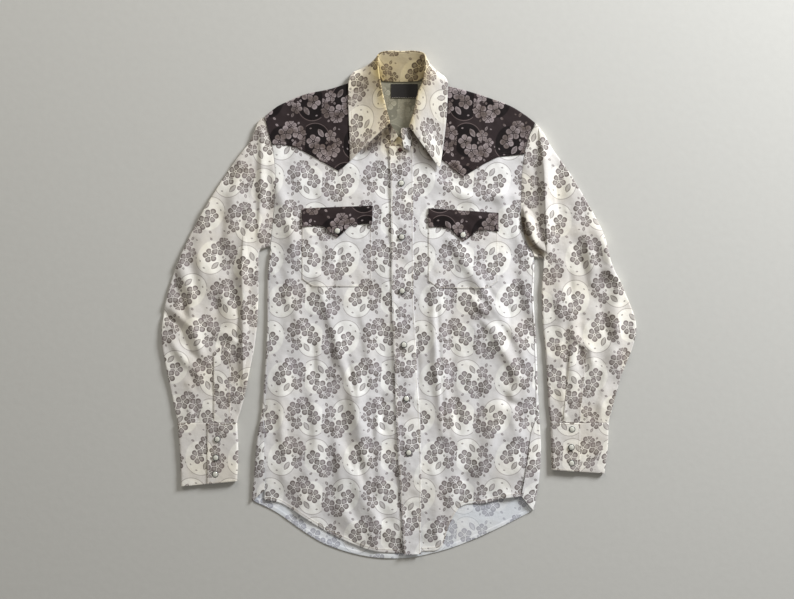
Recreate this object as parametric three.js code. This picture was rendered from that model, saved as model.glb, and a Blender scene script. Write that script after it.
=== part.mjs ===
// Western snap shirt laid flat on its back, sleeves down beside the body. Millimetres, +Z up, floor at Z = 0.
// Every piece of cloth is a closed thin wall: a grid of points on its middle surface, thickened both ways.
// +Y runs from the hem to the collar, and +X towards the wearer's left; "right" and "left" in the names
// below are the wearer's.

import * as THREE from 'three';

// Cloth and seams
const CLOTH = 1.2;
const SEAM_GAP = 0.35;
const ARMHOLE_GAP = 0.5;
const LAYER_STEP = CLOTH + SEAM_GAP;
const HALF_CLOTH = CLOTH / 2;

// Heights of the middle surfaces above the floor
const BED = HALF_CLOTH;
const SIDE_ROLL = 2.2;
const FRONT_LEVEL = BED + 2 * SIDE_ROLL;
const PATCH_LEVEL = FRONT_LEVEL + LAYER_STEP;
const SHOULDER_ROLL = (PATCH_LEVEL - BED) / 2;
const CUFF_ROLL = SHOULDER_ROLL;

// Body
const RIGHT_UNDERARM = 97;
const LEFT_UNDERARM = 79;
const UNROLL_LENGTH = 12;
const BACK_YOKE_SIDE = 232;
const BACK_YOKE_POINT = 44;
const BACK_YOKE_POINT_AT = 95;
const UNDER_PLACKET = 22;
const FRONT_UNDER_YOKE = 2.5;

// Snaps, pockets, flaps and cuffs
const SNAP_RADIUS = 5.8;
const SNAP_HEIGHT = 2.6;
const SNAP_SIDES = 12;
const FRONT_SNAPS = 6;
const FIRST_SNAP_Y = 201;
const SNAP_SPACING = 88.8;
const SNAP_OFF_CENTRE = -1;
const NECK_SNAP = { x: 2.5, y: 256, radius: 4.4, height: 2 };
const POCKET_WIDTH = 115;
const POCKET_CORNER = 18;
const POCKET_TOP_UNDER_FLAP = 11;
const FLAP_STITCH_STRIP = 9;
const UNDERLAP = 26;
const SLEEVE_PLACKET_WIDTH = 28;
const SLEEVE_PLACKET_POINT = 12;

// Shift that brings the middle of the whole shirt to the origin
const TO_CENTRE = { x: -0.5, y: 1.38 };

// Collar
const STAND_TUCK = 1.7;
const LEAF_BED = BED + 0.1;

// Outline of the body on the wearer's right: armhole seam above the underarm, folded side below it
const rightSide = [
  { y: -324, x: -242.6 },
  { y: -271, x: -238 },
  { y: -223, x: -234 },
  { y: -173, x: -226 },
  { y: -110, x: -221 },
  { y: -40, x: -217.5 },
  { y: 50, x: -216.5 },
  { y: 97, x: -211.5 },
  { y: 155, x: -205.9 },
  { y: 203, x: -202.8 },
  { y: 249, x: -205.9 },
  { y: 285, x: -214 },
  { y: 311, x: -221 },
];

// The same on the wearer's left
const leftSide = [
  { y: -338, x: 224 },
  { y: -290, x: 232 },
  { y: -240, x: 235.5 },
  { y: -155, x: 231.2 },
  { y: -48, x: 227 },
  { y: 10, x: 223 },
  { y: 79, x: 223.5 },
  { y: 101, x: 212 },
  { y: 137, x: 203 },
  { y: 191, x: 202.6 },
  { y: 247, x: 207 },
  { y: 284, x: 217 },
  { y: 300, x: 226 },
];

// Width of the strip of back cloth that is rolled over each side onto the front
const rolledStrip = [
  { y: -340, right: 20, left: 23 },
  { y: -279, right: 14, left: 20 },
  { y: -223, right: 9, left: 13 },
  { y: -180, right: 2, left: 2 },
  { y: 400, right: 2, left: 2 },
];

const backHem = [
  { x: -243, y: -323 },
  { x: -200, y: -344 },
  { x: -159, y: -373 },
  { x: -118, y: -397 },
  { x: -54, y: -415.8 },
  { x: 2.5, y: -419 },
  { x: 45, y: -413 },
  { x: 103, y: -396 },
  { x: 171, y: -366 },
  { x: 224, y: -339 },
];

// Front hems; the wearer's left front is turned up towards its side, which uncovers the inside of the back
const rightFrontHem = [
  { x: -240, y: -321 },
  { x: -202, y: -325 },
  { x: -181, y: -335 },
  { x: -130, y: -368 },
  { x: -100, y: -384 },
  { x: -42, y: -406 },
  { x: 8, y: -410.5 },
  { x: 30, y: -411 },
];
const leftFrontHem = [
  { x: 0, y: -410 },
  { x: 44.6, y: -407 },
  { x: 72, y: -399 },
  { x: 83, y: -366 },
  { x: 103, y: -333 },
  { x: 140, y: -328 },
  { x: 175, y: -319 },
  { x: 230, y: -314 },
];

// Shoulder edge and neckline of each front, from the armhole to the centre
const rightFrontTop = [
  { x: -221, y: 311 },
  { x: -202, y: 326.7 },
  { x: -179, y: 338.3 },
  { x: -151, y: 349 },
  { x: -111, y: 357.5 },
  { x: -81, y: 367 },
  { x: -50, y: 373 },
  { x: -40, y: 352 },
  { x: -31, y: 325 },
  { x: -20, y: 300 },
  { x: -8, y: 285 },
  { x: 12, y: 272 },
  { x: 30, y: 268 },
];
const leftFrontTop = [
  { x: -10, y: 268 },
  { x: 12, y: 276 },
  { x: 22, y: 292 },
  { x: 32, y: 320 },
  { x: 39, y: 348 },
  { x: 47, y: 370 },
  { x: 83, y: 361 },
  { x: 119.6, y: 352 },
  { x: 146, y: 343.2 },
  { x: 184, y: 329.2 },
  { x: 209.6, y: 313.5 },
  { x: 226, y: 300 },
];

// Top edge of the back: the shoulders, and the neck seam between them
const backTop = [
  ...rightFrontTop.slice(0, 7),
  { x: -30, y: 367 },
  { x: 4, y: 365.5 },
  { x: 30, y: 366 },
  ...leftFrontTop.slice(5),
];

// Lower edges of the two dark front yokes, each with one point
const rightYokeEdge = [
  { x: -222, y: 264 },
  { x: -190, y: 264.5 },
  { x: -169, y: 260 },
  { x: -144, y: 246.5 },
  { x: -98, y: 220.5 },
  { x: -79, y: 238 },
  { x: -60, y: 259 },
  { x: -42, y: 281 },
];
const leftYokeEdge = [
  { x: 42, y: 270 },
  { x: 55, y: 256 },
  { x: 70, y: 241 },
  { x: 106, y: 211 },
  { x: 145, y: 235 },
  { x: 164, y: 244 },
  { x: 201, y: 248 },
  { x: 225, y: 248 },
];

// Placket: free edge on the wearer's right, stitched edge on the left
const placketEdges = [
  { y: -411, free: 9, stitched: 37 },
  { y: -355, free: 5.8, stitched: 37.3 },
  { y: -279, free: 0.8, stitched: 37.6 },
  { y: -191, free: -4, stitched: 35.5 },
  { y: -120, free: -6, stitched: 31 },
  { y: -48, free: -9.4, stitched: 28 },
  { y: 13, free: -11.1, stitched: 25.5 },
  { y: 190, free: -13, stitched: 24.6 },
  { y: 262, free: -16, stitched: 24.6 },
];

// Sleeves: outermost points of each cross-section, from the armhole to the cuff seam.
// "armhole" is how much of the armhole's curve the section still follows.
const rightSleeve = [
  { outerX: -221.5, outerY: 311, innerX: -212, innerY: 97, armhole: 1 },
  { outerX: -232, outerY: 302, innerX: -219, innerY: 94, armhole: 0.8 },
  { outerX: -245, outerY: 271, innerX: -231, innerY: 86, armhole: 0.45 },
  { outerX: -275, outerY: 231, innerX: -231.7, innerY: 35, armhole: 0.1 },
  { outerX: -319, outerY: 162, innerX: -233, innerY: -21, armhole: 0 },
  { outerX: -357, outerY: 89, innerX: -238, innerY: -69, armhole: 0 },
  { outerX: -381, outerY: 21, innerX: -246, innerY: -110, armhole: 0 },
  { outerX: -391.5, outerY: -49, innerX: -253, innerY: -145, armhole: 0 },
  { outerX: -381, outerY: -119, innerX: -260, innerY: -172, armhole: 0 },
  { outerX: -373, outerY: -157, innerX: -264, innerY: -184, armhole: 0 },
  { outerX: -365, outerY: -194, innerX: -266.5, innerY: -194, armhole: 0 },
];
const leftSleeve = [
  { outerX: 226.5, outerY: 300, innerX: 224.2, innerY: 79, armhole: 1 },
  { outerX: 239, outerY: 284, innerX: 235, innerY: 77, armhole: 0.75 },
  { outerX: 252, outerY: 261, innerX: 241, innerY: 72, armhole: 0.4 },
  { outerX: 288, outerY: 209.6, innerX: 237, innerY: 28, armhole: 0.1 },
  { outerX: 334, outerY: 127, innerX: 238, innerY: -28, armhole: 0 },
  { outerX: 352, outerY: 67, innerX: 241, innerY: -58, armhole: 0 },
  { outerX: 372, outerY: 26, innerX: 243.4, innerY: -87, armhole: 0 },
  { outerX: 391.5, outerY: -25, innerX: 245, innerY: -117, armhole: 0 },
  { outerX: 389, outerY: -62, innerX: 246, innerY: -137, armhole: 0 },
  { outerX: 370, outerY: -112, innerX: 247.5, innerY: -160, armhole: 0 },
  { outerX: 358, outerY: -153, innerX: 249, innerY: -180, armhole: 0 },
  { outerX: 347, outerY: -194, innerX: 251, innerY: -194, armhole: 0 },
];

// Cuffs, from the sleeve seam to the free edge; "lap" is the edge of the overlapping end
const rightCuff = [
  { outerX: -365, outerY: -194.4, innerX: -266.5, innerY: -194.4, lap: -315.5 },
  { outerX: -360.8, outerY: -247, innerX: -264.5, innerY: -243, lap: -315.5 },
  { outerX: -358.9, outerY: -299.5, innerX: -266.5, innerY: -290.4, lap: -315.5 },
];
const leftCuff = [
  { outerX: 347, outerY: -194.4, innerX: 251, innerY: -194.4, lap: 299.5 },
  { outerX: 345.5, outerY: -236, innerX: 252, innerY: -233, lap: 299.5 },
  { outerX: 340, outerY: -278, innerX: 252.6, innerY: -272, lap: 299.5 },
];
const rightCuffSnaps = [
  { x: -298.5, y: -221 },
  { x: -301, y: -251.5 },
  { x: -302, y: -279 },
];
const leftCuffSnaps = [
  { x: 286, y: -204.8 },
  { x: 284.8, y: -234.3 },
  { x: 285.3, y: -260.7 },
];

// Pocket flaps: the two ends of the stitched top edge, and the snap near the point
const flaps = {
  right: { fromX: -159, fromY: 159.4, toX: -43, toY: 164, snapX: -100.7, snapY: 122, pocketBottom: 30 },
  left: { fromX: 49, fromY: 159.5, toX: 165, toY: 152, snapX: 106.1, snapY: 115.5, pocketBottom: 27 },
};

// Depth of a flap below its top edge, by the distance from its middle as a share of its width
const flapDepth = [
  { fromMiddle: 0, depth: 51 },
  { fromMiddle: 0.1, depth: 42 },
  { fromMiddle: 0.19, depth: 32 },
  { fromMiddle: 0.31, depth: 29.5 },
  { fromMiddle: 0.5, depth: 31 },
];

// Sleeve placket strips: middle of the cuff end and of the pointed end
const sleevePlackets = {
  right: { cuffX: -291, cuffY: -193, pointX: -291, pointY: -66 },
  left: { cuffX: 285, cuffY: -193, pointX: 298, pointY: -62 },
};

// Collar, from the wearer's right front end round the back of the neck to the left one. "fold" is the line
// where the leaf turns over the stand, "edge" the free edge of the leaf, "seam" the lower edge of the stand
// and "standZ" the height of its upper one. The leaf falls from the fold faster where "drape" is larger.
const collar = [
  { foldX: -14.5, foldY: 299, foldZ: 11, standZ: 9, drape: 2,
    edgeX: -80, edgeY: 236.5, edgeZ: 8.5, seamX: -17.5, seamY: 293, seamZ: 6.7 },
  { foldX: -20, foldY: 318.5, foldZ: 14, standZ: 12, drape: 2,
    edgeX: -80.5, edgeY: 272, edgeZ: 8.5, seamX: -27, seamY: 315, seamZ: 6.7 },
  { foldX: -25, foldY: 337, foldZ: 17, standZ: 15, drape: 2,
    edgeX: -82, edgeY: 308, edgeZ: 8.5, seamX: -34, seamY: 336, seamZ: 6.7 },
  { foldX: -29.5, foldY: 358, foldZ: 20, standZ: 18, drape: 2,
    edgeX: -83, edgeY: 342, edgeZ: 8.6, seamX: -39, seamY: 357, seamZ: 6.7 },
  { foldX: -33, foldY: 381, foldZ: 22, standZ: 20, drape: 2,
    edgeX: -81, edgeY: 372.5, edgeZ: 9, seamX: -42, seamY: 377, seamZ: 6.4 },
  { foldX: -34.5, foldY: 401, foldZ: 21, standZ: 20, drape: 2.6,
    edgeX: -71, edgeY: 386.5, edgeZ: 1.6, seamX: -36, seamY: 377, seamZ: 4.2 },
  { foldX: -31, foldY: 412, foldZ: 18, standZ: 18.2, drape: 4,
    edgeX: -55, edgeY: 382, edgeZ: LEAF_BED, seamX: -27, seamY: 371, seamZ: 2.6 },
  { foldX: -14, foldY: 416, foldZ: 15, standZ: 16.2, drape: 5,
    edgeX: -24, edgeY: 374, edgeZ: LEAF_BED, seamX: -12, seamY: 369.5, seamZ: 2.4 },
  { foldX: 5, foldY: 415.5, foldZ: 14, standZ: 15.2, drape: 5,
    edgeX: 5, edgeY: 373, edgeZ: LEAF_BED, seamX: 5, seamY: 369, seamZ: 2.4 },
  { foldX: 24, foldY: 416, foldZ: 15, standZ: 16.2, drape: 5,
    edgeX: 34, edgeY: 374, edgeZ: LEAF_BED, seamX: 20, seamY: 369.5, seamZ: 2.4 },
  { foldX: 41, foldY: 412, foldZ: 18, standZ: 18.2, drape: 4,
    edgeX: 60, edgeY: 380, edgeZ: LEAF_BED, seamX: 34, seamY: 371, seamZ: 2.6 },
  { foldX: 44.5, foldY: 401, foldZ: 21, standZ: 20, drape: 2.6,
    edgeX: 71, edgeY: 381, edgeZ: 1.6, seamX: 42, seamY: 377, seamZ: 4.2 },
  { foldX: 43.5, foldY: 383, foldZ: 22, standZ: 20, drape: 2,
    edgeX: 81, edgeY: 366.5, edgeZ: 9, seamX: 45, seamY: 376, seamZ: 6.4 },
  { foldX: 40, foldY: 364, foldZ: 20, standZ: 18, drape: 2,
    edgeX: 80.5, edgeY: 338, edgeZ: 8.6, seamX: 39, seamY: 360, seamZ: 6.7 },
  { foldX: 33, foldY: 348, foldZ: 17, standZ: 15, drape: 2,
    edgeX: 79, edgeY: 308, edgeZ: 8.6, seamX: 36, seamY: 345, seamZ: 6.7 },
  { foldX: 27, foldY: 321, foldZ: 14, standZ: 12, drape: 2,
    edgeX: 74, edgeY: 264, edgeZ: 8.6, seamX: 33, seamY: 318, seamZ: 6.7 },
  { foldX: 18, foldY: 292, foldZ: 12, standZ: 10, drape: 2,
    edgeX: 68, edgeY: 224.5, edgeZ: 8.5, seamX: 23, seamY: 292, seamZ: 6.7 },
];

// Front ends of the stand, which reach past the leaf towards the open neck snap
const rightStandEnd = { foldX: -1, foldY: 276, standZ: 8, seamX: -12, seamY: 266, seamZ: 6.9 };
const leftStandEnd = { foldX: 6, foldY: 284, standZ: 9, seamX: 20, seamY: 268, seamZ: 6.9 };

// Folds of the upper layer along straight lines: ridges, or troughs where "rise" is negative, each as wide
// as "spread" to both sides
const folds = [
  { fromX: -72, fromY: -75, toX: -72, toY: -245, rise: 3, spread: 13 },
  { fromX: -56, fromY: -247, toX: -35, toY: -395, rise: 3.5, spread: 14 },
  { fromX: -168, fromY: -8, toX: -165, toY: -70, rise: 2.5, spread: 14 },
  { fromX: -130, fromY: -140, toX: -150, toY: -290, rise: 2.2, spread: 16 },
  { fromX: 66, fromY: -12, toX: 76, toY: -215, rise: 4, spread: 13 },
  { fromX: 92, fromY: -20, toX: 96, toY: -200, rise: -1.4, spread: 10 },
  { fromX: 118, fromY: 10, toX: 168, toY: -45, rise: 2.6, spread: 14 },
  { fromX: 163, fromY: -180, toX: 131, toY: -270, rise: 5, spread: 15 },
  { fromX: 190, fromY: -80, toX: 205, toY: -160, rise: 2.5, spread: 15 },
  { fromX: 100, fromY: -300, toX: 78, toY: -340, rise: 4, spread: 14 },
  { fromX: 240, fromY: 272, toX: 243, toY: 96, rise: 8, spread: 9 },
  { fromX: 262, fromY: 215, toX: 262, toY: 140, rise: -1.2, spread: 10 },
  { fromX: 322, fromY: 118, toX: 345, toY: 60, rise: 3, spread: 12 },
  { fromX: 265, fromY: 20, toX: 270, toY: -40, rise: 3, spread: 12 },
  { fromX: 335, fromY: -20, toX: 338, toY: -110, rise: 3, spread: 14 },
  { fromX: -226, fromY: 285, toX: -230, toY: 120, rise: 3, spread: 8 },
  { fromX: -252, fromY: 165, toX: -262, toY: 30, rise: 2.6, spread: 12 },
  { fromX: -325, fromY: 110, toX: -300, toY: 20, rise: 3, spread: 14 },
  { fromX: -352, fromY: 5, toX: -330, toY: -60, rise: 4, spread: 12 },
  { fromX: -338, fromY: -75, toX: -328, toY: -130, rise: 3, spread: 9 },
];

// Colours of the cloth and of the snaps
const CREAM_PRINT = { color: 0xc9c4bd, roughness: 0.9, metalness: 0 };
const DARK_PRINT = { color: 0x4a3f3e, roughness: 0.9, metalness: 0 };
const LABEL_CLOTH = { color: 0x1c1714, roughness: 0.8, metalness: 0 };
const PEARL = { color: 0xb9c2c0, roughness: 0.25, metalness: 0.1 };

const shirt = new THREE.Group();

// Curves through table rows

function slopeAt(table, key, column, row) {
  const before = table[Math.max(row - 1, 0)];
  const after = table[Math.min(row + 1, table.length - 1)];
  return (after[column] - before[column]) / (after[key] - before[key]);
}

// Value of a column at a place between two rows, on a curve without corners
function follow(table, key, at, column) {
  const last = table.length - 1;
  if (at <= Math.min(table[0][key], table[last][key])) {
    return table[0][key] < table[last][key] ? table[0][column] : table[last][column];
  }
  if (at >= Math.max(table[0][key], table[last][key])) {
    return table[0][key] < table[last][key] ? table[last][column] : table[0][column];
  }
  let row = 0;
  while ((table[row][key] - at) * (table[row + 1][key] - at) > 0) {
    row += 1;
  }
  const low = table[row];
  const high = table[row + 1];
  const span = high[key] - low[key];
  const t = (at - low[key]) / span;
  const lowSlope = slopeAt(table, key, column, row) * span;
  const highSlope = slopeAt(table, key, column, row + 1) * span;
  const t2 = t * t;
  const t3 = t2 * t;
  return (2 * t3 - 3 * t2 + 1) * low[column] + (t3 - 2 * t2 + t) * lowSlope
    + (3 * t2 - 2 * t3) * high[column] + (t3 - t2) * highSlope;
}

// The same on straight lines between rows, for outlines with points
function followStraight(table, key, at, column) {
  const last = table.length - 1;
  let row = 0;
  while (row < last - 1 && at > table[row + 1][key]) {
    row += 1;
  }
  const t = THREE.MathUtils.clamp((at - table[row][key]) / (table[row + 1][key] - table[row][key]), 0, 1);
  return THREE.MathUtils.lerp(table[row][column], table[row + 1][column], t);
}

// A row between the rows of a table, by its share of the table's length
function rowAt(table, share) {
  const entries = table.map((entry, index) => ({ ...entry, index }));
  const row = {};
  for (const column of Object.keys(table[0])) {
    row[column] = follow(entries, 'index', share * (table.length - 1), column);
  }
  return row;
}

const mix = THREE.MathUtils.lerp;
const ease = THREE.MathUtils.smoothstep;
const steps = (count) => Array.from({ length: count + 1 }, (_, index) => index / count);

function distanceToFold(x, y, fold) {
  const alongX = fold.toX - fold.fromX;
  const alongY = fold.toY - fold.fromY;
  const t = ((x - fold.fromX) * alongX + (y - fold.fromY) * alongY) / (alongX * alongX + alongY * alongY);
  const nearest = THREE.MathUtils.clamp(t, 0, 1);
  return Math.hypot(x - fold.fromX - nearest * alongX, y - fold.fromY - nearest * alongY);
}

// Height of the middle surface of the upper layer, with its folds
function upperLayer(x, y) {
  let height = FRONT_LEVEL;
  for (const fold of folds) {
    const distance = distanceToFold(x, y, fold) / fold.spread;
    height += fold.rise * Math.exp(-distance * distance);
  }
  return height;
}

// Closed walls from grids of points

function gridNormal(grid, row, column, ring) {
  const rows = grid.length;
  const columns = grid[0].length;
  const across = new THREE.Vector3();
  const along = new THREE.Vector3();
  const next = ring ? (column + 1) % columns : Math.min(column + 1, columns - 1);
  const previous = ring ? (column + columns - 1) % columns : Math.max(column - 1, 0);
  across.subVectors(grid[row][next], grid[row][previous]);
  along.subVectors(grid[Math.min(row + 1, rows - 1)][column], grid[Math.max(row - 1, 0)][column]);
  return across.cross(along).normalize();
}

function signedVolume(positions, faces) {
  let volume = 0;
  for (let index = 0; index < faces.length; index += 3) {
    const [a, b, c] = [0, 1, 2].map((corner) => positions[faces[index + corner]]);
    volume += a.dot(new THREE.Vector3().crossVectors(b, c)) / 6;
  }
  return volume;
}

// One closed wall. In a ring the last column joins the first, so the wall is a tube with two open ends.
function addWall(name, grid, look, ring = false) {
  const rows = grid.length;
  const columns = grid[0].length;
  const positions = [];
  for (const side of [1, -1]) {
    for (let row = 0; row < rows; row += 1) {
      for (let column = 0; column < columns; column += 1) {
        const normal = gridNormal(grid, row, column, ring);
        positions.push(grid[row][column].clone().addScaledVector(normal, side * HALF_CLOTH));
      }
    }
  }
  const upper = (row, column) => row * columns + (column % columns);
  const lower = (row, column) => rows * columns + upper(row, column);
  const faces = [];
  const quad = (a, b, c, d) => faces.push(a, b, c, a, c, d);
  const spans = ring ? columns : columns - 1;
  const end = rows - 1;
  for (let column = 0; column < spans; column += 1) {
    for (let row = 0; row < end; row += 1) {
      quad(upper(row, column), upper(row, column + 1), upper(row + 1, column + 1), upper(row + 1, column));
      quad(lower(row, column), lower(row + 1, column), lower(row + 1, column + 1), lower(row, column + 1));
    }
    quad(lower(0, column), lower(0, column + 1), upper(0, column + 1), upper(0, column));
    quad(upper(end, column), upper(end, column + 1), lower(end, column + 1), lower(end, column));
  }
  if (!ring) {
    for (let row = 0; row < end; row += 1) {
      quad(upper(row, 0), upper(row + 1, 0), lower(row + 1, 0), lower(row, 0));
      quad(lower(row, spans), lower(row + 1, spans), upper(row + 1, spans), upper(row, spans));
    }
  }
  if (signedVolume(positions, faces) < 0) {
    faces.reverse();
  }
  const geometry = new THREE.BufferGeometry().setFromPoints(positions);
  geometry.setIndex(faces);
  geometry.computeVertexNormals();
  const mesh = new THREE.Mesh(geometry, new THREE.MeshStandardMaterial(look));
  mesh.name = name;
  shirt.add(mesh);
}

// Body

// Position of back cloth beside the body's edge. "along" is measured over the cloth from the floor side of
// the roll; "rolled" is 1 where the cloth turns over onto the front and 0 where it lies flat at the armhole.
function rolledPoint(edge, inward, along, length, rolled) {
  const flatCentre = ARMHOLE_GAP + length;
  const rolledCentre = HALF_CLOTH + SIDE_ROLL;
  const centre = edge + inward * mix(flatCentre, rolledCentre, rolled);
  if (rolled < 0.02) {
    return { x: centre - inward * along, z: BED };
  }
  const radius = SIDE_ROLL / rolled;
  const turn = Math.min(along / radius, Math.PI);
  const past = Math.max(along - Math.PI * radius, 0);
  const z = BED + radius * (1 - Math.cos(turn));
  return { x: centre - inward * (radius * Math.sin(turn) - past), z: Math.min(z, FRONT_LEVEL) };
}

const ROLL_LENGTH = Math.PI * SIDE_ROLL;
const rollShares = [1, 0.78, 0.52, 0.26];

// Distances over the cloth at which the rolled side has a row of points, from its free edge to the floor
function rollStations(strip) {
  return [ROLL_LENGTH + strip, ...rollShares.map((share) => share * ROLL_LENGTH), 0];
}

const sides = {
  right: { outline: rightSide, inward: 1, underarm: RIGHT_UNDERARM, column: 'right' },
  left: { outline: leftSide, inward: -1, underarm: LEFT_UNDERARM, column: 'left' },
};

function rolledShare(side, y) {
  return ease(side.underarm - y, 0, UNROLL_LENGTH);
}

// Places of the rows of points on each side of the body, from the hem up, closer together at the underarm.
// The back ends at its yoke; the fronts go on above it.
const sideRows = [
  { right: -323, left: -338 },
  { right: -297, left: -314 },
  { right: -271, left: -290 },
  { right: -247, left: -262 },
  { right: -223, left: -240 },
  { right: -201, left: -210 },
  { right: -180, left: -180 },
  { right: -140, left: -142 },
  { right: -100, left: -102 },
  { right: -60, left: -62 },
  { right: -20, left: -24 },
  { right: 20, left: 12 },
  { right: 55, left: 42 },
  { right: 84, left: 66 },
  { right: 91, left: 73 },
  { right: 98, left: 80 },
  { right: 112, left: 98 },
  { right: 135, left: 120 },
  { right: 165, left: 155 },
  { right: 198, left: 191 },
  { right: BACK_YOKE_SIDE - SEAM_GAP, left: BACK_YOKE_SIDE - SEAM_GAP },
];

// Corners of the zigzag seam between the back and its yoke
const yokeCorners = [-2, -1, 0, 1, 2].map((count) => count * BACK_YOKE_POINT_AT);

// Shares of the way between two sides that put a column of points on each corner of the zigzag, and
// "between" columns from one corner to the next
function zigzagShares(startX, endX, between) {
  const stops = [startX, ...yokeCorners, endX].map((x) => (x - startX) / (endX - startX));
  const shares = [stops[0], stops[1]];
  for (let corner = 1; corner < stops.length - 2; corner += 1) {
    for (const t of steps(between).slice(1)) {
      shares.push(mix(stops[corner], stops[corner + 1], t));
    }
  }
  return [...shares, stops.at(-1)];
}

// Back panel on the floor, rolled over both sides onto the front
function addBack() {
  const besideSeam = ARMHOLE_GAP + ROLL_LENGTH + rolledStrip.at(-1).right;
  const seamStart = follow(rightSide, 'y', BACK_YOKE_SIDE, 'x') + besideSeam;
  const seamEnd = follow(leftSide, 'y', BACK_YOKE_SIDE, 'x') - besideSeam;
  const backColumns = zigzagShares(seamStart, seamEnd, 2);
  const rolledColumns = (side, y) => {
    const edge = follow(side.outline, 'y', y, 'x');
    const stations = rollStations(follow(rolledStrip, 'y', y, side.column));
    const rolled = rolledShare(side, y);
    return stations.map((along) => {
      const place = rolledPoint(edge, side.inward, along, stations[0], rolled);
      return new THREE.Vector3(place.x, y, place.z);
    });
  };
  const shareOfHeight = (side) => (row) => {
    const [first, last] = [sideRows[0][side], sideRows.at(-1)[side]];
    return (row[side] - first) / (last - first);
  };
  const grid = sideRows.map((row) => {
    const rightRoll = rolledColumns(sides.right, row.right);
    const leftRoll = rolledColumns(sides.left, row.left).reverse();
    const points = backColumns.slice(1, -1).map((s) => {
      const x = mix(rightRoll.at(-1).x, leftRoll[0].x, s);
      const t = mix(shareOfHeight('right')(row), shareOfHeight('left')(row), s);
      return new THREE.Vector3(x, mix(follow(backHem, 'x', x, 'y'), backYokeEdge(x) - SEAM_GAP, t), BED);
    });
    return [...rightRoll, ...points, ...leftRoll];
  });
  addWall('back', grid, CREAM_PRINT);
}

// Seam between the back and its yoke, with one point under each shoulder blade
function backYokeEdge(x) {
  const fromPoint = Math.abs(Math.abs(x) - BACK_YOKE_POINT_AT) / BACK_YOKE_POINT_AT;
  return BACK_YOKE_SIDE - BACK_YOKE_POINT * Math.max(0, 1 - fromPoint);
}

// How far a place on the shoulder edge is from the open neck: 1 on the shoulder, 0 at the neckline
function onShoulder(x) {
  return x < 0 ? ease(-x, 46, 54) : ease(x, 43, 51);
}

// Back yoke on the floor, its upper edge rolled up to the shoulder seam
function addBackYoke() {
  const rollTurns = [0, 0.45, 0.9, 1.35];
  const flatRows = [0, 0.3, 0.62, 0.9, 1];
  const place = (x, share) => {
    const rollHere = onShoulder(x) * SHOULDER_ROLL;
    const top = follow(backTop, 'x', x, 'y') - HALF_CLOTH - rollHere;
    const y = mix(backYokeEdge(x) + SEAM_GAP, top, share);
    return { y, top, rollHere };
  };
  const grid = [];
  const edgeX = (side, y) => follow(side.outline, 'y', y, 'x') + side.inward * ARMHOLE_GAP;
  const columns = zigzagShares(edgeX(sides.right, BACK_YOKE_SIDE), edgeX(sides.left, BACK_YOKE_SIDE), 6);
  for (const share of flatRows) {
    grid.push(columns.map((s) => {
      let x = mix(rightSide.at(-1).x, leftSide.at(-1).x, s);
      let y = 0;
      for (let pass = 0; pass < 6; pass += 1) {
        y = place(x, share).y;
        x = mix(edgeX(sides.right, y), edgeX(sides.left, y), s);
      }
      return new THREE.Vector3(x, y, BED);
    }));
  }
  const lastFlat = grid.at(-1);
  for (const turn of rollTurns.slice(1)) {
    grid.push(lastFlat.map((point) => {
      const rollHere = Math.max(onShoulder(point.x) * SHOULDER_ROLL, 0.25);
      const rise = onShoulder(point.x) * SHOULDER_ROLL * (1 - Math.cos(turn));
      return new THREE.Vector3(point.x, point.y + rollHere * Math.sin(turn), BED + rise);
    }));
  }
  addWall('back_yoke', grid, DARK_PRINT);
}

// Centre edges of the two fronts, both under the placket
function rightCentre(y) {
  return follow(placketEdges, 'y', y, 'free') + UNDER_PLACKET;
}

function leftCentre(y) {
  return rightCentre(y) + 2 * SEAM_GAP;
}

// Edge of a front beside the rolled strip of the back, or at the armhole
function frontEdge(side, y) {
  const rolled = rolledShare(side, y);
  const strip = follow(rolledStrip, 'y', y, side.column);
  const outline = follow(side.outline, 'y', y, 'x');
  return outline + side.inward * mix(ARMHOLE_GAP, HALF_CLOTH + SIDE_ROLL + strip + SEAM_GAP, rolled);
}

// A grid over a region between two edges x(y), a lower edge and an upper edge y(x), at a height above it
function regionGrid({ startX, endX, lower, upper, rows, columns, height }) {
  return rows.map((t) => columns.map((s) => {
    let x = mix(startX(0), endX(0), s);
    let y = 0;
    for (let pass = 0; pass < 14; pass += 1) {
      y = mix(lower(x), upper(x), t);
      x = mix(startX(y), endX(y), s);
    }
    return new THREE.Vector3(x, y, height(x, y));
  }));
}

const frontColumns = [0, 0.06, 0.14, 0.22, 0.3, 0.38, 0.46, 0.54, 0.62, 0.7, 0.78, 0.86, 0.93, 1];

// Shares of a front's height at which its rows meet the rows of the back at the side
function frontRows(side, lower, upper) {
  const share = (y) => {
    const x = frontEdge(side, y);
    return (y - lower(x)) / (upper(x) - lower(x));
  };
  const beside = sideRows.map((row) => share(row[side.column])).filter((t) => t > 0.02);
  const above = steps(5).slice(1).map((t) => mix(beside.at(-1), 1, t));
  return [0, ...beside, ...above];
}

// Top edge of a front panel, held back from the shoulder roll that only the yoke goes round
function frontTop(table, x) {
  return follow(table, 'x', x, 'y') - HALF_CLOTH - onShoulder(x) * SHOULDER_ROLL;
}

function addFront(name, side, centre, hemTable, topTable) {
  const lower = (x) => follow(hemTable, 'x', x, 'y');
  const upper = (x) => frontTop(topTable, x) - FRONT_UNDER_YOKE * ease(Math.abs(x), 34, 44);
  addWall(name, regionGrid({
    startX: (y) => frontEdge(side, y),
    endX: centre,
    lower,
    upper,
    rows: frontRows(side, lower, upper),
    columns: frontColumns,
    height: upperLayer,
  }), CREAM_PRINT);
}

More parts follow.
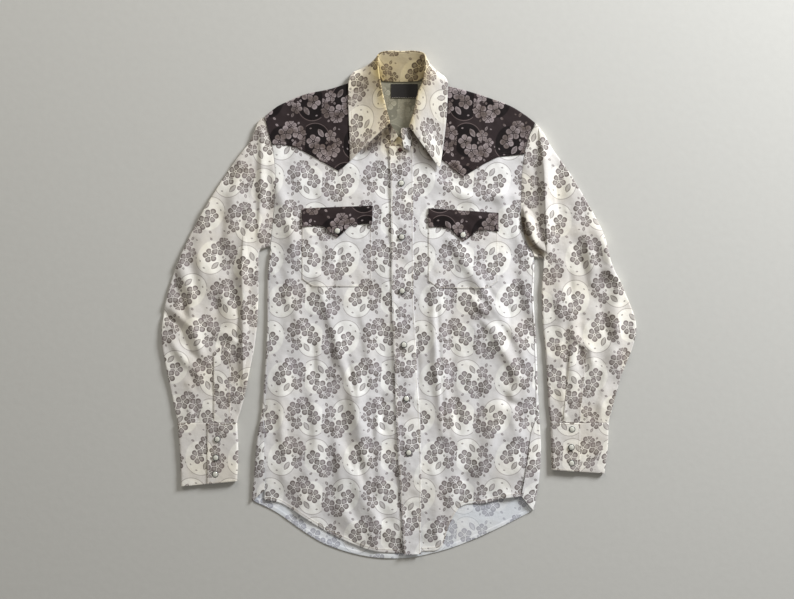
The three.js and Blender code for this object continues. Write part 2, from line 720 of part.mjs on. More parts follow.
// Dark yoke on one front, rolled over the shoulder down to the seam with the back yoke
function addFrontYoke(name, side, edgeTable, topTable, neckX) {
  const shoulderTurns = [0.45, 0.9, 1.4];
  const grid = regionGrid({
    startX: (y) => follow(side.outline, 'y', y, 'x') + side.inward * ARMHOLE_GAP,
    endX: () => neckX,
    lower: (x) => followStraight(edgeTable, 'x', x, 'y'),
    upper: (x) => frontTop(topTable, x),
    rows: steps(6),
    columns: steps(14),
    height: (x, y) => upperLayer(x, y) + LAYER_STEP,
  });
  const lastFlat = grid.at(-1);
  for (const turn of shoulderTurns) {
    grid.push(lastFlat.map((point) => {
      const rollHere = onShoulder(point.x) * SHOULDER_ROLL;
      const reach = Math.max(rollHere, 0.3) * Math.sin(turn);
      return new THREE.Vector3(point.x, point.y + reach, point.z - rollHere * (1 - Math.cos(turn)));
    }));
  }
  addWall(name, grid, DARK_PRINT);
}

// Placket strip over the meeting edges of the two fronts
function addPlacket() {
  addWall('placket', regionGrid({
    startX: (y) => follow(placketEdges, 'y', y, 'free'),
    endX: (y) => follow(placketEdges, 'y', y, 'stitched'),
    lower: () => placketEdges[0].y,
    upper: () => placketEdges.at(-1).y,
    rows: steps(26),
    columns: steps(2),
    height: () => PATCH_LEVEL,
  }), CREAM_PRINT);
}

// Pockets and flaps

function flapTopY(flap, x) {
  return mix(flap.fromY, flap.toY, (x - flap.fromX) / (flap.toX - flap.fromX));
}

// Patch pocket with its two lower corners cut off, its top hidden under the flap
function addPocket(name, flap) {
  const shares = [0, 0.06, 0.155, 0.33, 0.5, 0.67, 0.845, 0.94, 1];
  const lower = (x) => {
    const fromSide = Math.min(x - flap.fromX, flap.toX - x);
    return flap.pocketBottom + Math.max(0, POCKET_CORNER - fromSide) * 0.7;
  };
  addWall(name, regionGrid({
    startX: () => flap.fromX,
    endX: () => flap.fromX + POCKET_WIDTH,
    lower,
    upper: (x) => flapTopY(flap, x) - POCKET_TOP_UNDER_FLAP,
    rows: steps(5),
    columns: shares,
    height: (x, y) => upperLayer(x, y) + LAYER_STEP,
  }), CREAM_PRINT);
}

// Pointed flap, stitched to the front along its top edge and lying over the pocket
function addFlap(name, flap) {
  const halfShares = [0, 0.1, 0.19, 0.26, 0.31, 0.36, 0.41, 0.455];
  const shares = [...halfShares, 0.5, ...halfShares.map((share) => 1 - share).reverse()];
  const lower = (x) => {
    const fromMiddle = Math.abs((x - flap.fromX) / (flap.toX - flap.fromX) - 0.5);
    return flapTopY(flap, x) - follow(flapDepth, 'fromMiddle', fromMiddle, 'depth');
  };
  const height = (x, y) => {
    const over = ease(flapTopY(flap, x) - y, 0, FLAP_STITCH_STRIP);
    return upperLayer(x, y) + LAYER_STEP * (1 + over) + SEAM_GAP / 2;
  };
  addWall(name, regionGrid({
    startX: () => flap.fromX,
    endX: () => flap.toX,
    lower,
    upper: (x) => flapTopY(flap, x),
    rows: [0, 0.3, 0.6, 0.8, 1],
    columns: shares,
    height,
  }), DARK_PRINT);
}

// Sleeves

// Points of one cross-section of a flattened tube: across the top, round the inner end, back along the floor
// and round the outer end
function tubeSection(row, seamX, seamTable) {
  const outer = new THREE.Vector2(row.outerX, row.outerY);
  const inner = new THREE.Vector2(row.innerX, row.innerY);
  const direction = inner.clone().sub(outer).normalize();
  const inset = SIDE_ROLL + HALF_CLOTH;
  outer.addScaledVector(direction, inset);
  inner.addScaledVector(direction, -inset);
  const armholeTop = seamTable[0];
  const plan = (s) => {
    const x = mix(outer.x, inner.x, s);
    const y = mix(outer.y, inner.y, s);
    const seamY = mix(armholeTop.outerY, armholeTop.innerY, s);
    const straightX = mix(armholeTop.outerX, armholeTop.innerX, s);
    const bow = (seamX(seamY) - straightX) * row.armhole;
    return { x: x + bow, y };
  };
  const points = [];
  for (const s of steps(9)) {
    const { x, y } = plan(s);
    points.push(new THREE.Vector3(x, y, upperLayer(x, y)));
  }
  const roundEnd = (s, sign, fromTop) => {
    const { x, y } = plan(s);
    for (const share of [0.25, 0.5, 0.75]) {
      const turn = Math.PI * (fromTop ? share : 1 - share);
      const reach = sign * SIDE_ROLL * Math.sin(turn);
      const z = BED + SIDE_ROLL * (1 + Math.cos(turn));
      points.push(new THREE.Vector3(x + direction.x * reach, y + direction.y * reach, z));
    }
  };
  roundEnd(1, 1, true);
  for (const s of steps(4).reverse()) {
    const { x, y } = plan(s);
    points.push(new THREE.Vector3(x, y, BED));
  }
  roundEnd(0, -1, false);
  return points;
}

// Stations along a sleeve, closer together where it leaves the armhole
const sleeveStations = [0, 0.04, 0.08, 0.13, ...steps(14).map((t) => mix(0.18, 1, t))];

function addSleeve(name, table, side) {
  const seamX = (y) => follow(side.outline, 'y', y, 'x') - side.inward * ARMHOLE_GAP;
  const grid = sleeveStations.map((share) => tubeSection(rowAt(table, share), seamX, table));
  addWall(name, grid, CREAM_PRINT, true);
}

// Strip over the slit above the cuff, with a pointed upper end
function addSleevePlacket(name, strip) {
  const along = new THREE.Vector2(strip.pointX - strip.cuffX, strip.pointY - strip.cuffY);
  const length = along.length();
  along.normalize();
  const grid = steps(6).map((t) => [-0.5, 0, 0.5].map((across) => {
    const reach = length - SLEEVE_PLACKET_POINT * 2 * Math.abs(across);
    const x = strip.cuffX + along.x * t * reach + across * SLEEVE_PLACKET_WIDTH;
    const y = strip.cuffY + along.y * t * reach;
    return new THREE.Vector3(x, y, upperLayer(x, y) + LAYER_STEP);
  }));
  addWall(name, grid, CREAM_PRINT);
}

// Cuff: a stiff band closed by its overlapping end, lying flat
function cuffSection(row) {
  const toInner = Math.sign(row.innerX - row.outerX);
  const yAt = (x) => mix(row.outerY, row.innerY, (x - row.outerX) / (row.innerX - row.outerX));
  const innerCentre = row.innerX - toInner * (CUFF_ROLL + HALF_CLOTH);
  const outerCentre = row.outerX + toInner * (SIDE_ROLL + HALF_CLOTH);
  const underEnd = row.lap + toInner * UNDERLAP;
  const path = [];
  for (const s of steps(3)) {
    path.push([mix(row.lap, innerCentre, s), PATCH_LEVEL]);
  }
  for (const share of [0.25, 0.5, 0.75]) {
    const turn = Math.PI * share;
    path.push([innerCentre + toInner * CUFF_ROLL * Math.sin(turn), BED + CUFF_ROLL * (1 + Math.cos(turn))]);
  }
  for (const s of steps(3)) {
    path.push([mix(innerCentre, outerCentre, s), BED]);
  }
  for (const share of [0.25, 0.5, 0.75]) {
    const turn = Math.PI * (1 - share);
    path.push([outerCentre - toInner * SIDE_ROLL * Math.sin(turn), BED + SIDE_ROLL * (1 + Math.cos(turn))]);
  }
  for (const s of steps(3)) {
    path.push([mix(outerCentre, underEnd, s), FRONT_LEVEL]);
  }
  return path.map(([x, z]) => new THREE.Vector3(x, yAt(x), z));
}

function addCuff(name, table) {
  addWall(name, steps(4).map((share) => cuffSection(rowAt(table, share))), CREAM_PRINT);
}

// Collar

const collarShares = steps(32);

// Leaf of the collar, from the fold line out to its points and round behind the neck
function addCollarFall() {
  const grid = collarShares.map((share) => {
    const row = rowAt(collar, share);
    return steps(5).map((v) => {
      const x = mix(row.foldX, row.edgeX, v);
      const y = mix(row.foldY, row.edgeY, v);
      const drop = (1 - v) ** row.drape;
      return new THREE.Vector3(x, y, mix(row.edgeZ, row.foldZ, drop));
    });
  });
  addWall('collar_fall', grid, CREAM_PRINT);
}

// Stand of the collar, inside the leaf, from the neck seam up to the fold
function addCollarStand() {
  const neckCentre = new THREE.Vector2(5, 350);
  const standRows = [rightStandEnd, ...collar, leftStandEnd];
  const grid = collarShares.map((share) => {
    const row = rowAt(standRows, share);
    const fold = new THREE.Vector2(row.foldX, row.foldY);
    const tuck = neckCentre.clone().sub(fold).normalize().multiplyScalar(STAND_TUCK);
    fold.add(tuck);
    return steps(3).map((v) => new THREE.Vector3(
      mix(row.seamX, fold.x, v),
      mix(row.seamY, fold.y, v),
      mix(row.seamZ, row.standZ, v),
    ));
  });
  addWall('collar_stand', grid, CREAM_PRINT);
}

// Bare woven label on the inside of the back yoke, under the neck seam
function addNeckLabel() {
  addWall('neck_label', regionGrid({
    startX: () => -12,
    endX: () => 28,
    lower: () => 343,
    upper: () => 363,
    rows: steps(2),
    columns: steps(4),
    height: () => BED + LAYER_STEP,
  }), LABEL_CLOTH);
}

// Snaps

// Domed cap standing on a layer of cloth whose middle surface is at the given level
function addSnap(name, x, y, level, radius = SNAP_RADIUS, height = SNAP_HEIGHT) {
  const profile = [
    new THREE.Vector2(0, 0),
    new THREE.Vector2(radius * 0.88, 0),
    new THREE.Vector2(radius, height * 0.35),
    new THREE.Vector2(radius * 0.8, height * 0.8),
    new THREE.Vector2(0, height),
  ];
  const cap = new THREE.LatheGeometry(profile, SNAP_SIDES);
  cap.rotateX(Math.PI / 2);
  const mesh = new THREE.Mesh(cap, new THREE.MeshStandardMaterial(PEARL));
  mesh.name = name;
  mesh.position.set(x, y, level + HALF_CLOTH + SEAM_GAP);
  shirt.add(mesh);
}

function addSnaps() {
  for (let index = 0; index < FRONT_SNAPS; index += 1) {
    const y = FIRST_SNAP_Y - index * SNAP_SPACING;
    const free = follow(placketEdges, 'y', y, 'free');
    const stitched = follow(placketEdges, 'y', y, 'stitched');
    addSnap(`snap_front_${index + 1}`, (free + stitched) / 2 + SNAP_OFF_CENTRE, y, PATCH_LEVEL);
  }
  addSnap('snap_neck', NECK_SNAP.x, NECK_SNAP.y, PATCH_LEVEL, NECK_SNAP.radius, NECK_SNAP.height);
  for (const [side, flap] of Object.entries(flaps)) {
    addSnap(`snap_flap_${side}`, flap.snapX, flap.snapY, PATCH_LEVEL + LAYER_STEP + SEAM_GAP / 2);
  }
  for (const [side, places] of Object.entries({ right: rightCuffSnaps, left: leftCuffSnaps })) {
    places.forEach((place, index) => {
      addSnap(`snap_cuff_${side}_${index + 1}`, place.x, place.y, PATCH_LEVEL);
    });
  }
}

addBack();
addBackYoke();
addFront('front_right', sides.right, rightCentre, rightFrontHem, rightFrontTop);
addFront('front_left', sides.left, leftCentre, leftFrontHem, leftFrontTop);
addFrontYoke('front_yoke_right', sides.right, rightYokeEdge, rightFrontTop, rightYokeEdge.at(-1).x);
addFrontYoke('front_yoke_left', sides.left, leftYokeEdge, leftFrontTop, leftYokeEdge[0].x);
addPlacket();
for (const [side, flap] of Object.entries(flaps)) {
  addPocket(`pocket_${side}`, flap);
  addFlap(`pocket_flap_${side}`, flap);
}
addSleeve('sleeve_right', rightSleeve, sides.right);
addSleeve('sleeve_left', leftSleeve, sides.left);
addSleevePlacket('sleeve_placket_right', sleevePlackets.right);
addSleevePlacket('sleeve_placket_left', sleevePlackets.left);
addCuff('cuff_right', rightCuff);
addCuff('cuff_left', leftCuff);
addCollarFall();
addCollarStand();
addNeckLabel();
addSnaps();
shirt.position.set(TO_CENTRE.x, TO_CENTRE.y, 0);

export default shirt;
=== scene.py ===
# Western snap shirt laid flat, dressed over its CAD frame: thin cloth with creases, a floral print,
# topstitching and pearl snaps.
#
# Tables and heights are in millimetres in the shirt's own plan: x towards the wearer's left, y towards the
# collar, z up from the floor. TO_CENTRE moves the plan to the frame, whose origin is the shirt's middle.
# "Right" and "left" are the wearer's. Cloth coordinates (u, v) are in millimetres along the weave.

import math

import bpy
import numpy as np
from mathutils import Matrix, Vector


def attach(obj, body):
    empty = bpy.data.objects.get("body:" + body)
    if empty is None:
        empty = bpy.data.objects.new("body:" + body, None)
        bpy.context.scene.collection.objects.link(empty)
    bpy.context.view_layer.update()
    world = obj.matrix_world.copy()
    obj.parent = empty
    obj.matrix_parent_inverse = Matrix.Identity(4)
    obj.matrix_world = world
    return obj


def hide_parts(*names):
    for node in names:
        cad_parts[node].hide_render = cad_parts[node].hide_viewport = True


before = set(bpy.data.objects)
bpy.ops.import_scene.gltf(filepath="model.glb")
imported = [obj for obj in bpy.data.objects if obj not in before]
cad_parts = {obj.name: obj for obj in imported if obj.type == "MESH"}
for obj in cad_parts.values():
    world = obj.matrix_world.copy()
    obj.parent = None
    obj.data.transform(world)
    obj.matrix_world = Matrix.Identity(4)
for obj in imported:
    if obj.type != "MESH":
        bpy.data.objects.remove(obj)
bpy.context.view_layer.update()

MM = 0.001
TAU = 2 * math.pi
TO_CENTRE = (-0.5, 1.38)

# Camera: straight above, over the middle of the photograph
CAMERA_X = -3.0
CAMERA_Y = 10.5
CAMERA_HEIGHT = 1600
VIEW_WIDTH = 1310
CLOTH_LEVEL = 5

# Cloth, and the heights of the middle surfaces above the floor
HALF_CLOTH = 0.42
CAD_HALF_CLOTH = 0.6
BED = CAD_HALF_CLOTH
SIDE_ROLL = 2.2
FRONT_LEVEL = BED + 2 * SIDE_ROLL
LAYER = 1.1
POCKET_LAYER = 0.95
SHOULDER_ROLL = 2.7
CUFF_ROLL = 2.9
SPACING = 3.2
HEM = 6.5
HEM_HALF = 0.6
HEM_SETTLE = 2.6

# Rough sizes that the spacing of the points divides
SMALL_SPACING = 2.6
BACK_LENGTH = 600
BODY_WIDTH = 430
SLEEVE_WIDTH = 128

# Body
RIGHT_UNDERARM = 97
LEFT_UNDERARM = 79
UNROLL_LENGTH = 12
STRIP_HEM_SLOPE = 1.0
ARMHOLE_GAP = 0.3
BACK_YOKE_SIDE = 232
BACK_YOKE_POINT = 44
BACK_YOKE_POINT_AT = 95
UNDER_PLACKET = 22
EDGE_GAP = 0.35

# Snaps, pockets, flaps and cuffs
SNAP_RADIUS = 5.4
SNAP_HEIGHT = 2.6
FRONT_SNAPS = 6
FIRST_SNAP_Y = 201
SNAP_SPACING = 88.8
SNAP_OFF_CENTRE = -1
NECK_SNAP = (2.5, 256)
SOCKET_SIZE = (3.6, 1.8)
POCKET_WIDTH = 115
POCKET_CORNER = 18
POCKET_TOP_UNDER_FLAP = 11
FLAP_STITCH_STRIP = 9
UNDERLAP = 26
SLEEVE_PLACKET_WIDTH = 28
SLEEVE_PLACKET_POINT = 12
LEAF_BEAD = 0.8
NECK_CENTRE = (5, 350)
STAND_TUCK = 1.7
UNDER_STAND = 4.5
FRONT_LIFT = 5.4

# Neck label: its two ends, then its lower and upper edge
LABEL_EDGES = (-12.4, 31.6, 342, 365.5)

# Tubes: angles of the rounded side, the grain's lean in degrees, and the step in cloth coordinates, in
# metres, above which it is no cloth but the seam
ROUND = np.linspace(0, math.pi, 9)[1:-1]
SLEEVE_TILT = 13
SEAM_STEP = 0.03

# Distances from a turned-up hem at which its rows of points lie
HEM_ROWS = (0, 0.4, 1.2, 2.6, 4.2, 5.6, 6.3, 6.9, 8.2)

# Thread, and the distances of the stitches from the edges
STITCH_LENGTH = 2.1
STITCH_PITCH = 2.9
STITCH_WIDTH = 0.42
STITCH_HEIGHT = 0.3
NEAR_EDGE = 1.6
SECOND_ROW = 6.2
LEAF_INSET = 5.5


def table(columns, *rows):
    """A short table, kept as one array for each named column."""
    return dict(zip(columns.split(), np.array(rows, float).T))


# Outline of the body: armhole seam above the underarm, folded side below it
RIGHT_SIDE = table(
    "y x",
    (-324, -242.6), (-271, -238), (-223, -234), (-173, -226), (-110, -221), (-40, -217.5), (50, -216.5),
    (97, -211.5), (155, -205.9), (203, -202.8), (249, -205.9), (285, -214), (311, -221),
)
LEFT_SIDE = table(
    "y x",
    (-338, 224), (-290, 232), (-240, 235.5), (-155, 231.2), (-48, 227), (10, 223), (79, 223.5),
    (101, 212), (137, 203), (191, 202.6), (247, 207), (284, 217), (300, 226),
)

# Width of the strip of back cloth that is rolled over each side onto the front
ROLLED_STRIP = table(
    "y right left",
    (-340, 20, 23), (-279, 14, 20), (-223, 9, 13), (-180, 2, 2), (400, 2, 2),
)
BACK_HEM = table(
    "x y",
    (-243, -323), (-200, -344), (-159, -373), (-118, -397), (-54, -415.8),
    (2.5, -419), (45, -413), (103, -396), (171, -366), (224, -339),
)
RIGHT_FRONT_HEM = table(
    "x y",
    (-240, -321), (-202, -325), (-181, -335), (-130, -368), (-100, -384), (-42, -406), (8, -410.5),
    (30, -411),
)
LEFT_FRONT_HEM = table(
    "x y",
    (0, -410), (44.6, -407), (72, -399), (83, -366), (103, -333), (140, -328), (175, -319), (230, -314),
)

# Shoulder edge and neckline, from one armhole to the other
RIGHT_FRONT_TOP = table(
    "x y",
    (-221, 311), (-202, 326.7), (-179, 338.3), (-151, 349), (-111, 357.5), (-81, 367), (-50, 373),
    (-40, 352), (-31, 325), (-20, 300), (-8, 285), (12, 272), (30, 268),
)
LEFT_FRONT_TOP = table(
    "x y",
    (-10, 268), (12, 276), (22, 292), (32, 320), (39, 348), (47, 370), (83, 361), (119.6, 352),
    (146, 343.2), (184, 329.2), (209.6, 313.5), (226, 300),
)
BACK_TOP = table(
    "x y",
    (-221, 311), (-202, 326.7), (-179, 338.3), (-151, 349), (-111, 357.5), (-81, 367), (-50, 373),
    (-30, 367), (4, 365.5), (30, 366), (47, 370), (83, 361), (119.6, 352), (146, 343.2), (184, 329.2),
    (209.6, 313.5), (226, 300),
)

# Lower edges of the two dark front yokes, each with one point
RIGHT_YOKE_EDGE = table(
    "x y",
    (-222, 264), (-190, 264.5), (-169, 260), (-144, 246.5), (-98, 220.5), (-79, 238), (-60, 259), (-42, 281),
)
LEFT_YOKE_EDGE = table(
    "x y",
    (42, 270), (55, 256), (70, 241), (106, 211), (145, 235), (164, 244), (201, 248), (225, 248),
)

# Placket: free edge on the wearer's right, stitched edge on the left
PLACKET_EDGES = table(
    "y free stitched",
    (-411, 9, 37), (-355, 5.8, 37.3), (-279, 0.8, 37.6), (-191, -4, 35.5), (-120, -6, 31),
    (-48, -9.4, 28), (13, -11.1, 25.5), (190, -13, 24.6), (262, -16, 24.6),
)

# Sleeves: outermost points of each cross-section, from the armhole to the cuff seam.
# "armhole" is how much of the armhole's curve the section still follows.
SLEEVE_COLUMNS = "outer_x outer_y inner_x inner_y armhole"
RIGHT_SLEEVE = table(
    SLEEVE_COLUMNS,
    (-221.5, 311, -212, 97, 1), (-232, 302, -219, 94, 0.8), (-245, 271, -231, 86, 0.45),
    (-275, 231, -231.7, 35, 0.1), (-319, 162, -233, -21, 0), (-357, 89, -238, -69, 0),
    (-381, 21, -246, -110, 0), (-391.5, -49, -253, -145, 0), (-381, -119, -260, -172, 0),
    (-373, -157, -264, -184, 0), (-365, -194, -266.5, -194, 0),
)
LEFT_SLEEVE = table(
    SLEEVE_COLUMNS,
    (226.5, 300, 224.2, 79, 1), (239, 284, 235, 77, 0.75), (252, 261, 241, 72, 0.4),
    (288, 209.6, 237, 28, 0.1), (334, 127, 238, -28, 0), (352, 67, 241, -58, 0), (372, 26, 243.4, -87, 0),
    (391.5, -25, 245, -117, 0), (389, -62, 246, -137, 0), (370, -112, 247.5, -160, 0),
    (358, -153, 249, -180, 0), (347, -194, 251, -194, 0),
)

# Cuffs, from the sleeve seam to the free edge; "lap" is the edge of the overlapping end
CUFF_COLUMNS = "outer_x outer_y inner_x inner_y lap"
RIGHT_CUFF = table(
    CUFF_COLUMNS,
    (-365, -194.4, -266.5, -194.4, -315.5), (-360.8, -247, -264.5, -243, -315.5),
    (-358.9, -299.5, -266.5, -290.4, -315.5),
)
LEFT_CUFF = table(
    CUFF_COLUMNS,
    (347, -194.4, 251, -194.4, 299.5), (345.5, -236, 252, -233, 299.5), (340, -278, 252.6, -272, 299.5),
)
CUFF_SNAPS = {
    "right": [(-298.5, -221), (-301, -251.5), (-302, -279)],
    "left": [(286, -204.8), (284.8, -234.3), (285.3, -260.7)],
}

# Pocket flaps: the two ends of the stitched top edge, the snap near the point, and the pocket's lower edge
FLAPS = {
    "right": dict(start=(-159, 159.4), end=(-43, 164), snap=(-100.7, 122), pocket_bottom=30),
    "left": dict(start=(49, 159.5), end=(165, 152), snap=(106.1, 115.5), pocket_bottom=27),
}

# Depth of a flap below its top edge, by the distance from its middle as a share of its width
FLAP_DEPTH = table("from_middle depth", (0, 51), (0.1, 42), (0.19, 32), (0.31, 29.5), (0.5, 31))

# Sleeve placket strips: middle of the cuff end and of the pointed end
SLEEVE_PLACKETS = {
    "right": ((-291, -193), (-291, -66)),
    "left": ((285, -193), (298, -62)),
}

# Collar, from the wearer's right front end round the back of the neck to the left one. "fold" is the line
# where the leaf turns over the stand, "edge" the free edge of the leaf, "seam" the lower edge of the stand
# and "stand_z" the height of its upper one. The leaf falls from the fold faster where "drape" is larger.
COLLAR = table(
    "fold_x fold_y fold_z stand_z drape edge_x edge_y edge_z seam_x seam_y seam_z",
    (-14.5, 299, 11, 9, 2, -80, 236.5, 8.5, -17.5, 293, 6.7),
    (-20, 318.5, 14, 12, 2, -80.5, 272, 8.5, -27, 315, 6.7),
    (-25, 337, 17, 15, 2, -82, 308, 8.5, -34, 336, 6.7),
    (-29.5, 358, 20, 18, 2, -83, 342, 8.6, -39, 357, 6.7),
    (-33, 381, 22, 20, 2, -81, 372.5, 9, -42, 377, 6.4),
    (-34.5, 401, 21, 20, 2.6, -71, 386.5, 1.6, -36, 377, 4.2),
    (-31, 412, 18, 18.2, 4, -55, 382, 0.7, -27, 371, 2.6),
    (-14, 416, 15, 16.2, 5, -24, 374, 0.7, -12, 369.5, 2.4),
    (5, 415.5, 14, 15.2, 5, 5, 373, 0.7, 5, 369, 2.4),
    (24, 416, 15, 16.2, 5, 34, 374, 0.7, 20, 369.5, 2.4),
    (41, 412, 18, 18.2, 4, 60, 380, 0.7, 34, 371, 2.6),
    (44.5, 401, 21, 20, 2.6, 71, 381, 1.6, 42, 377, 4.2),
    (43.5, 383, 22, 20, 2, 81, 366.5, 9, 45, 376, 6.4),
    (40, 364, 20, 18, 2, 80.5, 338, 8.6, 39, 360, 6.7),
    (33, 348, 17, 15, 2, 79, 308, 8.6, 36, 345, 6.7),
    (27, 321, 14, 12, 2, 74, 264, 8.6, 33, 318, 6.7),
    (18, 292, 12, 10, 2, 68, 224.5, 8.5, 23, 292, 6.7),
)
STAND_COLUMNS = "fold_x fold_y stand_z seam_x seam_y seam_z"
RIGHT_STAND_END = table(STAND_COLUMNS, (-1, 276, 9.5, -12, 266, 6.9))
LEFT_STAND_END = table(STAND_COLUMNS, (4, 287, 10.5, 21.5, 273, 7.6), (8.5, 258, 10, 19, 254, 7.8))

# Folds of the upper layer: ridges, or troughs where "rise" is negative, on lines that bow sideways by "bow".
# "left" and "right" are the widths of the slopes, seen from the first end towards the second.
FOLDS = table(
    "from_x from_y to_x to_y bow rise left right",
    (-72, -75, -72, -245, 4, 4.2, 16, 9),
    (-22, -50, -26, -205, 2, -2.2, 8, 8),
    (-83, -247, -39, -337, -5, 5, 9, 15),
    (-39, -335, -40, -400, 2, 5, 9, 14),
    (-60, -290, -18, -360, -4, -2, 9, 9),
    (-168, -8, -165, -70, 3, 3.6, 16, 9),
    (-130, -140, -150, -290, 6, 3.4, 18, 12),
    (-185, -60, -190, -210, -5, 2.4, 12, 12),
    (-105, -10, -118, -120, 4, -1.8, 14, 14),
    (-108, 95, -128, 20, 5, 2.2, 9, 14),
    (-165, 215, -160, 188, 0, 2.2, 8, 12),
    (-130, 212, -126, 172, 0, 2.1, 9, 9),
    (-178, 130, -184, -10, 4, 2.1, 10, 14),
    (-100, -340, -60, -388, 3, 2.5, 10, 10),
    (-150, -300, -165, -340, 0, 2.5, 12, 9),
    (58, 25, 76, -215, -4, 5.9, 15, 8),
    (88, 10, 94, -200, -3, -2.2, 8, 12),
    (118, 10, 168, -45, 4, 3.9, 12, 12),
    (130, -40, 178, -100, 5, 2.7, 10, 12),
    (165, -175, 130, -272, 5, 7.3, 11, 16),
    (130, -150, 110, -250, 4, -2.1, 11, 11),
    (190, -75, 206, -165, 5, 3.6, 12, 15),
    (100, -300, 78, -342, -2, 5.6, 10, 14),
    (55, -230, 62, -380, 4, 2.5, 10, 10),
    (170, 195, 172, 150, 0, 2.5, 9, 12),
    (178, 130, 196, 20, 4, -2.2, 14, 14),
    (190, 60, 150, -10, 5, 2.2, 14, 14),
    (240, 282, 243, 90, 0, 5, 14, 7),
    (262, 222, 262, 140, 3, -2.5, 9, 9),
    (286, 190, 296, 120, 4, 2.7, 10, 10),
    (318, 132, 348, 62, 4, 4.5, 9, 12),
    (300, 118, 322, 60, 3, 3.1, 7, 9),
    (336, 60, 370, 30, 2, 3.1, 8, 8),
    (265, 20, 271, -45, 0, 4.2, 10, 12),
    (284, 8, 284, -150, 3, 3.4, 12, 8),
    (269, -41, 273, -181, 0, 2.8, 4, 10),
    (335, 5, 364, -74, -6, -3.6, 9, 9),
    (350, -20, 352, -110, 4, 4.5, 10, 12),
    (312, -60, 322, -160, 3, 2.4, 10, 10),
    (-226, 285, -230, 115, 2, 4.8, 9, 5),
    (-248, 165, -262, 30, 4, 3.9, 13, 8),
    (-270, 190, -292, 110, 5, 2.5, 12, 12),
    (-325, 110, -300, 20, -5, 4.2, 12, 16),
    (-372, 40, -352, -15, 3, -3.6, 7, 7),
    (-352, 5, -330, -60, 4, 4.8, 9, 12),
    (-338, -75, -328, -130, 0, 4.2, 9, 9),
    (-263, 41, -263, -66, 2, -2.2, 7, 7),
    (-287, -48, -259, -68, 2, 3.1, 7, 7),
    (-300, 60, -280, -40, 5, 2.5, 12, 12),
    (-344, -130, -340, -188, 0, 2.5, 9, 9),
    (-134, 45, -76, -150, 0, 4.5, 14, 7),
    (-76, -150, -50, -300, 3, 4, 13, 7),
    (-208, 225, -158, 50, 0, 3.2, 16, 9),
    (-150, -120, -135, -260, 4, 2.4, 12, 7),
    (-190, -100, -185, -300, -4, 2.4, 12, 8),
    (-110, -180, -95, -330, 3, 2.6, 11, 7),
    (-60, -20, -45, -150, 3, 2.4, 10, 6),
    (-30, -170, -28, -330, -3, 2.4, 9, 6),
    (85, 105, 160, -8, 0, 4.2, 15, 8),
    (160, -8, 212, -100, 6, 4.4, 14, 7),
    (128, -10, 194, -118, 5, 4.6, 12, 7),
    (194, -118, 194, -215, -6, 4, 11, 8),
    (200, 55, 220, -20, 0, 2.6, 10, 6),
    (60, 205, 120, 176, 0, 2.2, 8, 10),
    (120, 176, 190, 182, 0, 2, 8, 9),
    (340, 116, 362, 22, 4, 4.6, 8, 18),
    (362, 22, 366, -80, -5, 4.2, 8, 10),
    (308, 122, 318, 40, 0, 4.2, 14, 5),
    (286, -48, 314, -74, -3, 3, 9, 2.6),
    (314, -74, 319, -102, 0, 3, 9, 2.6),
    (-256, 60, -256, -130, 0, 3.4, 10, 3),
    (-262, 125, -262, 20, 0, 3.4, 9, 15),
    (-380, -2, -340, -42, 0, 3.4, 8, 8),
    (-340, -42, -318, -94, 0, 3.4, 8, 8),
    (-300, 230, -330, 150, 4, 2.6, 12, 12),
    (-250, 250, -275, 150, -4, 2.8, 12, 9),
    (-10, 296, -74, 236, 0, -2.4, 6, 5),
    (-84, -92, -70, -162, 2, -2.6, 3.5, 4),
    (-28, -150, -27, -205, 0, -2.8, 4, 4),
    (-34, -185, -38, -225, 0, 2.6, 5, 4),
    (-82, -240, -72, -280, 0, -2.4, 3, 4),
    (-182, -180, -184, -222, 0, -2, 6, 6),
    (-104, -62, -100, -98, 0, 2.6, 6, 4),
    (-140, -60, -142, -130, 3, -2.2, 4, 7),
    (-95, 90, -110, 30, 0, -2.2, 4, 4),
    (63, 10, 70, -128, 0, -3, 3.2, 3.2),
    (70, -128, 78, -205, 0, -3, 3.2, 3.2),
    (118, 4, 150, -26, -3, -3, 5, 6),
    (179, 4, 184, -28, 0, -2.8, 5, 5),
    (175, -148, 198, -166, -3, -3, 6, 6),
    (228, -104, 210, -130, 0, 2.4, 5, 5),
    (86, -160, 92, -215, 0, 2.6, 4, 4),
    (140, 40, 160, 10, 0, -2.4, 4, 5),
    (30, -60, 34, -150, 0, -2.2, 4, 4),
    (258, 207, 270, 148, 0, -3.2, 4, 4),
    (204, 148, 207, 124, 0, -9, 3.5, 5),
    (207, 124, 217, 100, 0, -9, 4, 5),
    (217, 100, 234, 84, 0, -9, 4, 5),
    (-370, 58, -350, -6, 2, -3.6, 4, 5),
    (-356, 58, -336, 0, 2, 3.8, 7, 12),
    (-382, -14, -352, -42, 0, -4, 7, 6),
    (-352, -42, -330, -100, 0, -4.4, 6, 7),
    (-374, -60, -348, -98, 0, 3.6, 7, 7),
    (-296, -64, -262, -50, 0, -3, 5, 5),
    (-330, 90, -326, 10, 3, 2.8, 8, 8),
    (-300, 30, -310, -60, 4, -2.4, 6, 7),
    (-340, -150, -332, -190, 0, -2.2, 5, 6),
    (-290, 150, -302, 60, 3, -2.6, 6, 8),
    (300, -20, 296, -110, 3, -2.4, 6, 7),
    (340, -120, 330, -190, 0, 2.8, 8, 6),
    (282, 60, 288, -10, 0, -2.2, 5, 6),
)

